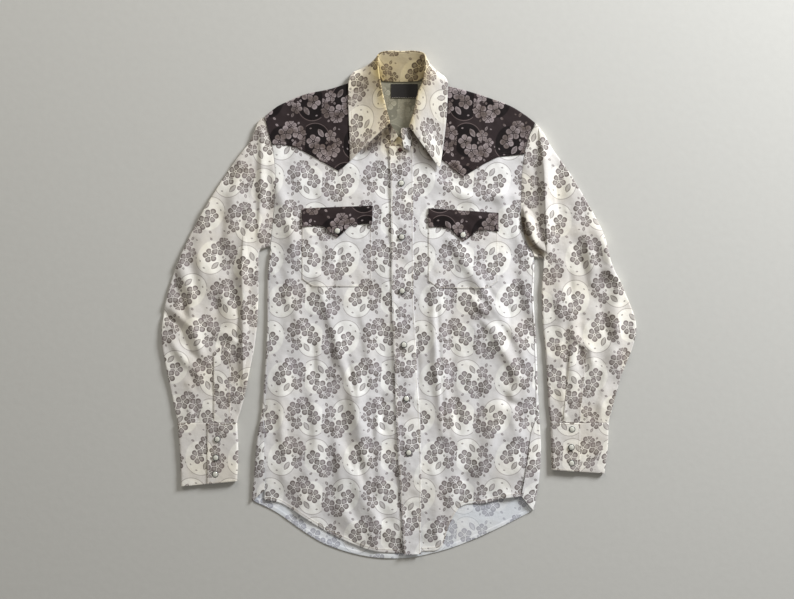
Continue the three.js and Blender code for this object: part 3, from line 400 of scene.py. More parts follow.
# Folds of the sleeves that lie over them: the free edge, the line behind it where the cloth sinks back, and
# how far the edge stands up
FOLD_OVER_COLUMNS = "edge_x edge_y back_x back_y lift"
FOLDS_OVER = {
    "sleeve_left": [
        table(FOLD_OVER_COLUMNS, (230.5, 292, 240, 280, 2), (235, 250, 253, 245, 3.4),
              (238.5, 210, 257, 208, 3.6),
              (240.4, 163, 259, 163, 3.6), (243, 116, 261, 116, 3.6), (243.4, 83, 260, 84, 2.5)),
        table(FOLD_OVER_COLUMNS, (205, 160, 210, 170, 4), (209, 142, 224, 158, 6), (213.5, 128, 230, 146, 6),
              (219, 111, 236, 132, 6), (229, 97, 241, 117, 5), (242, 87, 244, 104, 3)),
    ],
    "sleeve_right": [
        table(FOLD_OVER_COLUMNS, (-256, 116, -243, 116, 2), (-258, 60, -241, 60, 3.4),
              (-259.5, 0, -240, 0, 3.4),
              (-261, -17, -242, -18, 3.4), (-257.5, -40, -243, -42, 3.4), (-256.5, -90, -248, -92, 3),
              (-258, -118, -252, -118, 2)),
    ],
}

# Ageing and painted shade: its share on the sleeves, and the colours multiplied in: yellowed, partly painted
# shade round the neck, and brown painted shade
SLEEVE_YELLOWING = 0.16
YELLOWED_AND_SHADED = (226, 205, 150)
SHADE_BROWN = (120, 103, 82)

THREADS_PER_METRE = 2300

# Lines along which brown shade is painted: below the leaf's front edges, and in the left sleeve's underarm
UNDER_LEAF = (((-10, 297), (-54, 258)), ((22, 287), (54, 244)))
UNDERARM = (((205, 144), (208, 124)), ((208, 124), (218, 102)), ((218, 102), (236, 86)))
PAINTED_SHADE_LINES = {
    "front_right": (UNDER_LEAF, 10), "front_left": (UNDER_LEAF, 10), "placket": (UNDER_LEAF, 10),
    "collar_stand": (UNDER_LEAF, 10), "sleeve_left": (UNDERARM, 6),
}

# Shallow folds of the layer on the floor, which rise from it
BED_FOLDS = table(
    "from_x from_y to_x to_y bow rise left right",
    (-140, 120, -120, -60, 8, 1.4, 14, 10),
    (60, 150, 90, -20, -6, 1.3, 12, 12),
    (-60, -120, -100, -300, 8, 1.5, 12, 14),
    (120, -140, 100, -320, -8, 1.4, 14, 12),
    (-10, -200, 20, -380, 6, 1.3, 10, 14),
    (-30, 190, 10, 60, 5, 1.0, 10, 10),
    (-330, 40, -300, -80, 6, 1.4, 12, 10),
    (330, 60, 320, -60, -6, 1.4, 10, 12),
    (-270, 200, -262, 90, 4, 1.2, 10, 10),
    (275, 180, 280, 60, -4, 1.2, 10, 10),
)


# Curves through table rows


def mix(a, b, t):
    return a + (b - a) * t


def ease(value, low, high):
    t = np.clip((value - low) / (high - low), 0, 1)
    return t * t * (3 - 2 * t)


def follow(rows, key, at, column):
    """Values of a column at places between the rows, on a curve without corners."""
    k, v = rows[key], rows[column]
    if k[0] > k[-1]:
        k, v = k[::-1], v[::-1]
    slope = np.empty_like(v)
    slope[1:-1] = (v[2:] - v[:-2]) / (k[2:] - k[:-2])
    slope[0] = (v[1] - v[0]) / (k[1] - k[0])
    slope[-1] = (v[-1] - v[-2]) / (k[-1] - k[-2])
    at = np.clip(at, k[0], k[-1])
    low = np.clip(np.searchsorted(k, at, side="right") - 1, 0, len(k) - 2)
    span = k[low + 1] - k[low]
    t = (at - k[low]) / span
    t2, t3 = t * t, t * t * t
    return (
        (2 * t3 - 3 * t2 + 1) * v[low] + (t3 - 2 * t2 + t) * slope[low] * span
        + (3 * t2 - 2 * t3) * v[low + 1] + (t3 - t2) * slope[low + 1] * span
    )


def rows_at(rows, shares):
    """Rows between the rows of a table, by their share of the table's length: an upright column for each."""
    count = len(next(iter(rows.values())))
    numbered = dict(rows, index=np.arange(count, dtype=float))
    return {c: follow(numbered, "index", shares * (count - 1), c)[:, None] for c in rows}


def with_ends(first, rows, last):
    """A table with more rows before it and after it, in the columns that they have."""
    return {c: np.concatenate([first[c], rows[c], last[c]]) for c in first}


def steps(count):
    return np.linspace(0, 1, count + 1)


def spaced(length, spacing=SPACING):
    """Shares that cut a length into steps of about the given spacing."""
    return steps(max(2, round(length / spacing)))


# Creases


def fold_heights(x, y, folds):
    """Sum of the ridges and troughs at places of the plan."""
    height = np.zeros_like(x)
    for row in zip(*folds.values()):
        from_x, from_y, to_x, to_y, bow, rise, left, right = row
        along_x, along_y = to_x - from_x, to_y - from_y
        length = math.hypot(along_x, along_y)
        t = ((x - from_x) * along_x + (y - from_y) * along_y) / length ** 2
        within = np.clip(t, 0, 1)
        side = ((y - from_y) * along_x - (x - from_x) * along_y) / length
        side = side - bow * 4 * within * (1 - within)
        width = np.where(side > 0, left, right)
        beyond = (t - within) * length / ((left + right) / 2)
        swell = 0.55 + 0.45 * np.sin(math.pi * within)
        height += rise * swell * np.exp(-(side / width) ** 2 - beyond ** 2)
    return height


def rumple(x, y, size_x, size_y, seed):
    """Smooth random height from about -1 to 1, with bumps of the given size."""
    lattice = np.random.default_rng(seed).uniform(-1, 1, (97, 97))
    u, v = x / size_x + 48.3, y / size_y + 48.7
    i, j = np.floor(u).astype(int), np.floor(v).astype(int)
    s, t = ease(u - i, 0, 1), ease(v - j, 0, 1)
    corner = lambda a, b: lattice[(i + a) % 97, (j + b) % 97]
    return mix(mix(corner(0, 0), corner(1, 0), s), mix(corner(0, 1), corner(1, 1), s), t)


# Small unevenness of laid-out cloth: long upright ripples, then finer ones. Each has a height, how much it
# leans, its width and length, and the number of its random pattern.
RIPPLES = [(1.2, 0.16, 26, 95, 3), (0.9, -0.24, 15, 46, 5), (0.55, 0.5, 11, 24, 8), (0.25, -0.6, 7, 12, 9)]


def softness(x, y):
    return sum(height * rumple(x + lean * y, y, *pattern) for height, lean, *pattern in RIPPLES)


def segment_distance(x, y, start, end):
    span_x, span_y = end[0] - start[0], end[1] - start[1]
    share = ((x - start[0]) * span_x + (y - start[1]) * span_y) / (span_x ** 2 + span_y ** 2)
    share = np.clip(share, 0, 1)
    return np.hypot(x - start[0] - share * span_x, y - start[1] - share * span_y)


def upper_layer(x, y):
    return np.maximum(FRONT_LEVEL + fold_heights(x, y, FOLDS) + softness(x, y), bed_layer(x, y) + 1)


def bed_layer(x, y):
    waves = np.maximum(0.5 * rumple(x, y, 55, 80, 11), 0) + np.maximum(0.3 * rumple(x, y, 18, 30, 12), 0)
    return BED + np.maximum(fold_heights(x, y, BED_FOLDS), 0) + waves


# Sheets of cloth built from grids of points


class Panel:
    """A grid of points on the middle surface of a cloth, with its cloth coordinates and half thickness."""

    def __init__(self, x, y, z, u, v, half=HALF_CLOTH, ring=False):
        self.points = np.stack(np.broadcast_arrays(x, y, z), axis=-1).astype(float)
        self.x, self.y, self.z = np.moveaxis(self.points, -1, 0)
        self.u, self.v = np.broadcast_arrays(u, v)
        self.ring = ring
        self.half = np.broadcast_to(half, self.x.shape).astype(float)
        self.normals = self.surface_normals()

    def surface_normals(self):
        if self.ring:
            wide = np.concatenate([self.points[:, -1:], self.points, self.points[:, :1]], axis=1)
            across = wide[:, 2:] - wide[:, :-2]
        else:
            across = np.gradient(self.points, axis=1)
        normals = np.cross(across, np.gradient(self.points, axis=0))
        return normals / np.maximum(np.linalg.norm(normals, axis=-1, keepdims=True), 1e-9)

    def turned(self, over=True):
        """The same panel with its rows in reverse, so that its normals point to the other side."""
        if not over:
            return self
        grids = (self.x, self.y, self.z, self.u, self.v, self.half)
        return Panel(*(grid[::-1] for grid in grids), ring=self.ring)

    def flat_size(self):
        """Width, length and area in metres of the piece as it was cut, from its cloth coordinates. A step of
        them wider than SEAM_STEP is no cloth: there the two edges of a tube meet."""
        cut = np.stack([self.u, self.v], axis=-1) * MM
        rising = cut[1:, 1:] - cut[:-1, :-1]
        falling = cut[1:, :-1] - cut[:-1, 1:]
        steps = np.abs(np.diff(cut[..., 0], axis=1))
        steps[steps > SEAM_STEP] = 0
        parts = np.abs(rising[..., 0] * falling[..., 1] - rising[..., 1] * falling[..., 0]) / 2
        width = steps.sum(axis=1).max() if self.ring else np.ptp(cut[..., 0])
        return width, np.ptp(cut[..., 1]), parts[steps[1:] > 0].sum() if self.ring else parts.sum()

    def top(self, i, j):
        """Points on the upper side of the cloth, at places between the grid's rows i and columns j."""
        i = np.clip(i, 0, self.points.shape[0] - 1.0001)
        j = np.clip(j, 0, self.points.shape[1] - 1.0001)
        low_i, low_j = np.floor(i).astype(int), np.floor(j).astype(int)
        s, t = (i - low_i)[..., None], (j - low_j)[..., None]
        surface = self.points + self.normals * self.half[..., None]
        pick = lambda a, b: surface[low_i + a, low_j + b]
        return mix(mix(pick(0, 0), pick(1, 0), s), mix(pick(0, 1), pick(1, 1), s), t)


def to_frame(points):
    return (points + np.array([*TO_CENTRE, 0])) * MM


def add_object(name, data):
    made = bpy.data.objects.new(name, data)
    bpy.context.scene.collection.objects.link(made)
    return made


def new_mesh(name, vertices, faces, materials, kinds=None, sharp=50):
    """A mesh in metres. "kinds" gives each face the number of its material."""
    mesh = bpy.data.meshes.new(name)
    mesh.from_pydata(np.array(vertices).tolist(), [], np.array(faces).tolist())
    for material in materials:
        mesh.materials.append(material)
    if kinds is not None:
        mesh.polygons.foreach_set("material_index", np.array(kinds, dtype=np.int32))
    mesh.shade_smooth()
    mesh.set_sharp_from_angle(angle=math.radians(sharp))
    return mesh


def add_mesh(name, vertices, faces, materials, kinds=None):
    piece = add_object(name, new_mesh(name, to_frame(vertices), faces, materials, kinds))
    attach(piece, "root")
    return piece


def add_cloth(name, panel, slot, face, rear, replaces=(), **ageing_and_shade):
    """Closed thin cloth around a panel, with the face material on the side that its normals point to, and how
    much it has yellowed and how much shade is painted on it."""
    rows, columns = panel.x.shape
    count = rows * columns
    outward = panel.normals * panel.half[..., None]
    vertices = np.concatenate([(panel.points + side * outward).reshape(-1, 3) for side in (1, -1)])
    index = np.arange(count).reshape(rows, columns)
    wide = np.concatenate([index, index[:, :1]], axis=1) if panel.ring else index
    upper = np.stack([wide[:-1, :-1], wide[:-1, 1:], wide[1:, 1:], wide[1:, :-1]], axis=-1).reshape(-1, 4)
    lower = upper[:, ::-1] + count
    border = [(wide[0, 1:], wide[0, :-1]), (wide[-1, :-1], wide[-1, 1:])]
    if not panel.ring:
        border += [(index[:-1, 0], index[1:, 0]), (index[1:, -1], index[:-1, -1])]
    rims = [np.stack([a, b, b + count, a + count], axis=-1) for a, b in border]
    faces = np.concatenate([upper, lower, *rims])
    kinds = np.zeros(len(faces))
    kinds[len(upper):2 * len(upper)] = 1
    piece = add_mesh(name, vertices, faces, [face, rear], kinds)
    lay_cloth_coordinates(piece, panel, len(upper))
    for kind, amount in ageing_and_shade.items():
        values = np.tile(np.broadcast_to(amount, (rows, columns)).ravel(), 2)
        piece.data.attributes.new(kind, "FLOAT", "POINT").data.foreach_set("value", values)
    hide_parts(*replaces)
    return piece


def lay_cloth_coordinates(piece, panel, upper_faces):
    """UVs in metres of cloth. The last span of a ring goes on where the one before it ended."""
    rows, columns = panel.points.shape[:2]
    vertex = np.empty(len(piece.data.loops), dtype=np.int32)
    piece.data.loops.foreach_get("vertex_index", vertex)
    row, column = np.divmod(vertex % (rows * columns), columns)
    if panel.ring:
        last_spans = np.arange(columns - 1, upper_faces, columns)
        seam_faces = np.concatenate([last_spans, last_spans + upper_faces])
        loops = (seam_faces[:, None] * 4 + np.arange(4)).ravel()
        column[loops[column[loops] == 0]] = columns
    uv = np.stack([panel.u[row, column], panel.v[row, column]], axis=-1) * MM
    piece.data.uv_layers.new(name="cloth").data.foreach_set("uv", uv.ravel())


def side_distance(x, y, z, side):
    """Distance over the cloth from one side of a grid: its first or last row or column."""
    points = np.stack(np.broadcast_arrays(x, y, z), axis=-1)
    axis = 0 if side in ("first_row", "last_row") else 1
    lengths = np.linalg.norm(np.diff(points, axis=axis), axis=-1)
    padding = [(1, 0), (0, 0)] if axis == 0 else [(0, 0), (1, 0)]
    along = np.cumsum(np.pad(lengths, padding), axis=axis)
    if side.startswith("last"):
        along = np.take(along, [-1], axis=axis) - along
    return along


def from_sides(x, y, z, *sides):
    """Distance over the cloth from the nearest of several sides of a grid."""
    return np.minimum.reduce([side_distance(x, y, z, side) for side in sides])


def rounded(distance, half):
    """Half thickness of a folded edge that rounds off over the given distance from it."""
    reach = np.clip(distance / half, 0.12, 1)
    return half * np.sqrt(1 - (1 - reach) ** 2)


def edge_shares(width, near=(0, 0.35, 1.0), spacing=SPACING):
    """Column shares with extra columns close to both edges."""
    close = np.array(near) / width
    middle = mix(near[-1] / width, 1 - near[-1] / width, spaced(width, spacing))[1:-1]
    return np.concatenate([close, middle, 1 - close[::-1]])


def level(value):
    """An edge of a region that keeps one value."""
    return lambda along: value + 0 * along


def region(start_x, end_x, lower, upper, rows, columns, near=(0,)):
    """Plan of a grid between two edges x(y), a lower edge and an upper edge y(x). Its rows lie first at the
    distances "near" from the lower edge, then at shares of what is left. Columns run towards larger x."""
    near = np.array(near, float)
    share = np.concatenate([np.zeros(len(near) - 1), rows])[:, None]
    lift = np.concatenate([near[:-1], np.full(len(rows), near[-1])])[:, None]
    if start_x(0.0) > end_x(0.0):
        start_x, end_x, columns = end_x, start_x, 1 - columns[::-1]
    s = columns[None, :]
    x = mix(start_x(0.0), end_x(0.0), s) + 0 * share
    for _ in range(14):
        y = lower(x) + lift + share * (upper(x) - lower(x) - near[-1])
        x = mix(start_x(y), end_x(y), s)
    return x, y


def hem_half(distance):
    """Half thickness of cloth beside its turned-up hem."""
    band = mix(HEM_HALF, HALF_CLOTH, ease(distance, HEM - 0.4, HEM + 0.5))
    return np.minimum(band, rounded(distance, HEM_HALF))


# Body

ROLL_LENGTH = math.pi * SIDE_ROLL
SIDES = {
    "right": dict(outline=RIGHT_SIDE, inward=1, underarm=RIGHT_UNDERARM),
    "left": dict(outline=LEFT_SIDE, inward=-1, underarm=LEFT_UNDERARM),
}


def outline_x(side, y):
    return follow(SIDES[side]["outline"], "y", y, "x")


def rolled_share(side, y):
    """1 where the back turns over the body's edge onto the front, 0 where it lies flat at the armhole."""
    return ease(SIDES[side]["underarm"] - y, 0, UNROLL_LENGTH)


def rolled_points(side, y, along, length):
    """Back cloth beside the body's edge, "along" it from the floor side of the roll."""
    inward = SIDES[side]["inward"]
    rolled = rolled_share(side, y)
    centre = outline_x(side, y) + inward * mix(ARMHOLE_GAP + length, CAD_HALF_CLOTH + SIDE_ROLL, rolled)
    radius = SIDE_ROLL / np.maximum(rolled, 0.02)
    turn = np.minimum(along / radius, math.pi)
    past = np.maximum(along - math.pi * radius, 0)
    x = np.where(rolled < 0.02, centre - inward * along, centre - inward * (radius * np.sin(turn) - past))
    top = np.maximum(upper_layer(x, y), FRONT_LEVEL - 1.5) + 1.1 * ease(past, 2, 7)
    z = np.where(rolled < 0.02, BED, BED + (top - BED) * (1 - np.cos(turn)) / 2)
    return x, z


def back_yoke_edge(x):
    from_point = np.abs(np.abs(x) - BACK_YOKE_POINT_AT) / BACK_YOKE_POINT_AT
    return BACK_YOKE_SIDE - BACK_YOKE_POINT * np.maximum(0, 1 - from_point)


def back_panel():
    """Back, from its hem to its yoke, rolled over both sides onto the front."""
    hem_share = np.array(HEM_ROWS) / BACK_LENGTH
    share = np.concatenate([hem_share[:-1], mix(hem_share[-1], 1, spaced(BACK_LENGTH))])[:, None]
    top = BACK_YOKE_SIDE - EDGE_GAP
    part = np.concatenate([mix(1, 0, steps(5))[:-1], mix(0, -1, steps(8))])
    strips = {}
    for side, low in (("right", RIGHT_SIDE["y"][0] + 1), ("left", LEFT_SIDE["y"][0])):
        y = mix(low, top, share)
        length = ROLL_LENGTH + follow(ROLLED_STRIP, "y", y, side)
        along = np.where(part > 0, mix(ROLL_LENGTH, length, part), ROLL_LENGTH * (1 + part))
        y = mix(low + STRIP_HEM_SLOPE * np.maximum(along - ROLL_LENGTH, 0), top, share)
        x, z = rolled_points(side, y, along, length)
        strips[side] = np.array([x, y, z, along])
    right, left = strips["right"], strips["left"][..., ::-1]
    right_edge, left_edge = right[0][:, -1:], left[0][:, :1]
    x = mix(right_edge, left_edge, spaced(BODY_WIDTH)[None, 1:-1])
    y = mix(follow(BACK_HEM, "x", x, "y"), back_yoke_edge(x) - EDGE_GAP, share)
    z = bed_layer(x, y) * ease(np.minimum(x - right_edge, left_edge - x), 0, 12)
    u = np.concatenate([right_edge - right[3], x, left_edge + left[3]], axis=1)
    x, y, z = np.concatenate([right[:3], [x, y, np.maximum(z, BED)], left[:3]], axis=2)
    half = hem_half(side_distance(x, y, z, "first_row"))
    z = z + np.where(z < 2, half - HALF_CLOTH, 0)
    return Panel(x, y, z, u, y, half)


def on_shoulder(x):
    """1 on the shoulder, 0 at the open neckline."""
    return np.where(x < 0, ease(-x, 46, 54), ease(x, 43, 51))


def roll_top(x, y, z, turns, least, direction):
    """The grid with more rows at its upper edge, which roll up (1) or down (-1) at the shoulder."""
    turns = turns[:, None]
    roll = on_shoulder(x[-1:]) * SHOULDER_ROLL
    rolled = [
        x[-1:] + 0 * turns,
        y[-1:] + np.maximum(roll, least) * np.sin(turns),
        z[-1:] + direction * roll * (1 - np.cos(turns)),
    ]
    return np.concatenate([[x, y, z], rolled], axis=1)


def armhole_edge(side):
    return lambda y: outline_x(side, y) + SIDES[side]["inward"] * ARMHOLE_GAP


def back_yoke_panel():
    """Back yoke, its upper edge rolled up to the shoulder seam."""
    def upper(x):
        tuck = mix(UNDER_STAND, -SHOULDER_ROLL, on_shoulder(x))
        return follow(BACK_TOP, "x", x, "y") - CAD_HALF_CLOTH + tuck

    x, y = region(
        armhole_edge("right"), armhole_edge("left"), lambda x: back_yoke_edge(x) + EDGE_GAP, upper,
        spaced(130), spaced(BODY_WIDTH),
    )
    z = BED + np.maximum(0.5 * rumple(x, y, 30, 40, 21), 0)
    x, y, z = roll_top(x, y, z, np.linspace(0.2, 1.35, 6), 0.25, 1)
    return Panel(x, y, z, x, y)


def placket_edge(edge):
    return lambda y: follow(PLACKET_EDGES, "y", y, edge)


def right_centre(y):
    return placket_edge("free")(y) + UNDER_PLACKET


def left_centre(y):
    return right_centre(y) + 2 * EDGE_GAP


def front_edge(side, y):
    strip = follow(ROLLED_STRIP, "y", y, side)
    inset = mix(ARMHOLE_GAP, CAD_HALF_CLOTH + SIDE_ROLL + strip + EDGE_GAP, rolled_share(side, y))
    return outline_x(side, y) + SIDES[side]["inward"] * inset


def front_top(rows, x):
    return follow(rows, "x", x, "y") - CAD_HALF_CLOTH - on_shoulder(x) * SHOULDER_ROLL


def front_panel(side, centre, hem, top):
    x, y = region(
        lambda y: front_edge(side, y), centre,
        lambda x: follow(hem, "x", x, "y"),
        lambda x: front_top(top, x) - 2.5 * ease(np.abs(x), 34, 44),
        spaced(650), spaced(245), near=HEM_ROWS,
    )
    z = upper_layer(x, y)
    distance = side_distance(x, y, z, "first_row")
    z = np.maximum(z - HEM_SETTLE * np.exp(-(distance / 32) ** 2), bed_layer(x, y) + 1.3)
    if side == "left":
        turned_up = ease(x, 150, 176) * (1 - ease(x, 204, 222))
        rise = 3.2 * np.exp(-(distance / 14) ** 2) + 0.7 * np.sin(x / 7) * np.exp(-distance / 18)
        z = z + turned_up * rise
    z = z - 0.5 * np.exp(-side_distance(x, y, z, "last_column" if side == "left" else "first_column") / 2.5)
    return Panel(x, y, z, x, y, hem_half(distance))


def front_yoke_panel(side, edge, top, neck_x):
    x, y = region(
        armhole_edge(side), level(neck_x),
        lambda x: np.interp(x, edge["x"], edge["y"]), lambda x: front_top(top, x),
        spaced(110, SMALL_SPACING), spaced(180, SMALL_SPACING), near=(0, 0.4, 1.0, 2.0),
    )
    z = upper_layer(x, y) + LAYER
    turns = np.linspace(0.2, 1.4, 7)
    distance = np.pad(side_distance(x, y, z, "first_row"), ((0, len(turns)), (0, 0)), mode="edge")
    x, y, z = roll_top(x, y, z, turns, 0.3, -1)
    band = mix(0.6, HALF_CLOTH, ease(distance, 5.5, 7.5))
    return Panel(x, y, z, x, y, np.minimum(band, rounded(distance, 0.6)))


def placket_panel():
    x, y = region(
        placket_edge("free"), placket_edge("stitched"),
        level(PLACKET_EDGES["y"][0]), level(PLACKET_EDGES["y"][-1]),
        spaced(670, 2.4), edge_shares(35, spacing=2.2), near=(0, 0.4, 1.2),
    )
    z = upper_layer(x, y) + LAYER + 0.25
    from_free = side_distance(x, y, z, "first_column")
    waves = 0.18 * np.sin(y / 2.9) * np.exp(-((from_free - 17) / 20) ** 2)
    z = z + 0.9 * np.exp(-(from_free / 6) ** 2) + waves
    edge = np.minimum(from_free, side_distance(x, y, z, "last_column"))
    return Panel(x, y, z, x + 9, y + 31, rounded(edge, 0.62))


def flap_top_y(flap, x):
    (from_x, from_y), (to_x, to_y) = flap["start"], flap["end"]
    return mix(from_y, to_y, (x - from_x) / (to_x - from_x))


def pocket_panel(flap):
    start_x, end_x = flap["start"][0], flap["end"][0]

    def lower(x):
        from_side = np.minimum(x - start_x, end_x - x)
        return flap["pocket_bottom"] + np.maximum(0, POCKET_CORNER - from_side) * 0.7

    x, y = region(
        level(start_x), level(start_x + POCKET_WIDTH),
        lower, lambda x: flap_top_y(flap, x) - POCKET_TOP_UNDER_FLAP,
        spaced(120, SMALL_SPACING), edge_shares(POCKET_WIDTH, spacing=SMALL_SPACING), near=(0, 0.35, 1.0),
    )
    z = upper_layer(x, y) + POCKET_LAYER
    edge = from_sides(x, y, z, "first_row", "first_column", "last_column")
    z = z + 0.35 * ease(edge, 1, 12) - 0.15
    return Panel(x, y, z, x, y, rounded(edge, 0.45))


def flap_panel(flap):
    start_x, end_x = flap["start"][0], flap["end"][0]

    def lower(x):
        from_middle = np.abs((x - start_x) / (end_x - start_x) - 0.5)
        return flap_top_y(flap, x) - follow(FLAP_DEPTH, "from_middle", from_middle, "depth")

    x, y = region(
        level(start_x), level(end_x), lower, lambda x: flap_top_y(flap, x),
        spaced(34, 1.8), edge_shares(116, spacing=1.8), near=(0, 0.35, 1.0),
    )
    from_top = flap_top_y(flap, x) - y
    z = upper_layer(x, y) + LAYER * (1 + ease(from_top, 0, FLAP_STITCH_STRIP)) + 0.3
    z = z + 0.5 * ease(from_top, 12, 40)
    edge = from_sides(x, y, z, "first_row", "first_column", "last_column", "last_row")
    return Panel(x, y, z, x + 40, y + 22, rounded(edge, 0.65))


# Sleeves and cuffs


def sleeve_panel(rows, side):
    """Flattened tube: each section goes across the top, round the inner end, back along the floor and round
    the outer end."""
    at = rows_at(rows, np.concatenate([np.linspace(0, 0.16, 34), mix(0.16, 1, spaced(440))[1:]]))
    outer = np.concatenate([at["outer_x"], at["outer_y"]], axis=1)
    inner = np.concatenate([at["inner_x"], at["inner_y"]], axis=1)
    across = inner - outer
    across /= np.linalg.norm(across, axis=1, keepdims=True)
    inset = across * (SIDE_ROLL + CAD_HALF_CLOTH)
    outer, inner = outer + inset, inner - inset
    first = {name: values[0] for name, values in rows.items()}

    def plan(s):
        seam_y = mix(first["outer_y"], first["inner_y"], s)
        straight_x = mix(first["outer_x"], first["inner_x"], s)
        seam_x = outline_x(side, seam_y) - SIDES[side]["inward"] * ARMHOLE_GAP
        bow = (seam_x - straight_x) * at["armhole"]
        return mix(outer[:, :1], inner[:, :1], s) + bow, mix(outer[:, 1:], inner[:, 1:], s)

    def section(s, turn, reach):
        """Points at shares s of the way across, turned from the top (0) to the floor (pi)."""
        x, y = plan(s)
        top, bed = upper_layer(x, y), np.maximum(bed_layer(x, y), BED)
        bed = np.where(np.abs(s - 0.5) < 0.47, bed, BED)
        z = bed + (top - bed) * (1 + np.cos(turn)) / 2
        swing = reach * SIDE_ROLL * np.sin(turn)
        return x + across[:, :1] * swing, y + across[:, 1:] * swing, z

    top_shares = spaced(SLEEVE_WIDTH, 2.9)[None, :]
    floor_shares = spaced(SLEEVE_WIDTH, 4)[None, ::-1]
    round_end = np.ones((1, len(ROUND)))
    x, y, z = np.concatenate([
        section(top_shares, 0 * top_shares, 0),
        section(round_end, ROUND[None, :], 1),
        section(floor_shares, 0 * floor_shares + math.pi, 0),
        section(0 * round_end, ROUND[None, ::-1], -1),
    ], axis=2)
    z = z - 0.6 * np.exp(-side_distance(x, y, z, "first_row") / 2.5) * (z > 3)
    u, v = sleeve_cloth(x, y, z, SIDES[side]["inward"] * SLEEVE_TILT, top_shares.shape[1])
    return Panel(x, y, z, u, v, ring=True).turned(side == "right")


def on_grain(x, y, tilt):
    """Plan coordinates turned to a grain that leans by an angle in degrees."""
    cos, sin = math.cos(math.radians(tilt)), math.sin(math.radians(tilt))
    return x * cos - y * sin, x * sin + y * cos


def sleeve_cloth(x, y, z, tilt, top_count):
    """Cloth coordinates of a sleeve: on its top the plan, turned to the grain, and from both edges of the top
    the distance round to the underside, where they meet. The ring's first column comes again at the end."""
    x, y, z = (np.concatenate([values, values[:, :1]], axis=1) for values in (x, y, z))
    around = side_distance(x, y, z, "first_column")
    u, v = on_grain(x, y, tilt)
    edge = slice(top_count - 1, top_count)
    forward = np.sign(u[:, edge] - u[:, :1])
    column = np.arange(u.shape[1])
    past_inner = u[:, edge] + forward * (around - around[:, edge])
    past_outer = u[:, :1] - forward * (around[:, -1:] - around)
    underside = np.where(column < x.shape[1] - 1 - len(ROUND), past_inner, past_outer)
    return np.where(column < top_count, u, underside), v


def fold_over_panel(rows, side):
    """A fold that lies over its sleeve, raised along its free edge and sunk into the sleeve behind it."""
    shares = spaced(190, 2.4)
    at = rows_at(rows, shares)
    s = np.array([0, 0.03, 0.08, *np.linspace(0.16, 1, 9)])[None, :]
    x, y = mix(at["edge_x"], at["back_x"], s), mix(at["edge_y"], at["back_y"], s)
    end = np.sin(math.pi * shares[:, None]) ** 0.5
    z = upper_layer(x, y) + mix(at["lift"] * end, -0.9, ease(s, 0, 1))
    u, v = on_grain(x, y, SIDES[side]["inward"] * SLEEVE_TILT)
    panel = Panel(x, y, z, u, v, rounded(side_distance(x, y, z, "first_column"), 0.5))
    return panel.turned(panel.normals[..., 2].mean() <= 0)


def sleeve_placket_panel(strip):
    """Strip over the slit above the cuff, with a pointed upper end."""
    (cuff_x, cuff_y), (point_x, point_y) = strip
    length = math.hypot(point_x - cuff_x, point_y - cuff_y)
    across = edge_shares(SLEEVE_PLACKET_WIDTH, spacing=2)[None, :] - 0.5
    reach = spaced(length, 2.4)[:, None] * (length - SLEEVE_PLACKET_POINT * 2 * np.abs(across))
    x = cuff_x + (point_x - cuff_x) / length * reach + across * SLEEVE_PLACKET_WIDTH
    y = cuff_y + (point_y - cuff_y) / length * reach
    z = upper_layer(x, y) + mix(0.15, LAYER, ease(reach, 0, 12))
    edge = from_sides(x, y, z, "first_column", "last_column", "last_row")
    return Panel(x, y, z, across * SLEEVE_PLACKET_WIDTH + 0 * x, y + 17, rounded(edge, 0.55))


def cuff_panel(rows, side):
    """A stiff band closed by its overlapping end, lying flat."""
    at = rows_at(rows, edge_shares(100, spacing=SMALL_SPACING))
    to_inner = np.sign(at["inner_x"] - at["outer_x"])
    inner_centre = at["inner_x"] - to_inner * (CUFF_ROLL + CAD_HALF_CLOTH)
    outer_centre = at["outer_x"] + to_inner * (SIDE_ROLL + CAD_HALF_CLOTH)
    patch_level = FRONT_LEVEL + 2 * CUFF_ROLL - 2 * SIDE_ROLL
    low = BED + 0.25
    lap_shares = np.concatenate([[0, 0.35 / 45, 1 / 45], spaced(45, 2.4)[1:]])
    rising = (1 - np.cos(ROUND)) / 2
    parts = [
        (mix(at["lap"], inner_centre, lap_shares), patch_level),
        (inner_centre + to_inner * CUFF_ROLL * np.sin(ROUND), mix(patch_level, low, rising)),
        (mix(inner_centre, outer_centre, spaced(92, SMALL_SPACING)), low),
        (outer_centre - to_inner * SIDE_ROLL * np.sin(ROUND), mix(low, FRONT_LEVEL, rising)),
        (mix(outer_centre, at["lap"] + to_inner * UNDERLAP, spaced(70, SMALL_SPACING)), FRONT_LEVEL),
    ]
    x = np.concatenate([part[0] for part in parts], axis=1)
    z = np.concatenate([part[1] + 0 * part[0] for part in parts], axis=1)
    y = mix(at["outer_y"], at["inner_y"], (x - at["outer_x"]) / (at["inner_x"] - at["outer_x"]))
    z = z + ease(z, 3.5, 4.6) * (0.5 * rumple(x, y, 24, 34, 31) + 0.3 * rumple(x, y, 9, 14, 32))
    u = side_distance(x, y, z, "first_column") * to_inner
    edge = from_sides(x, y, z, "first_row", "last_row", "first_column")
    return Panel(x, y, z, u, y, rounded(edge, 0.75)).turned(side == "right")


# Collar


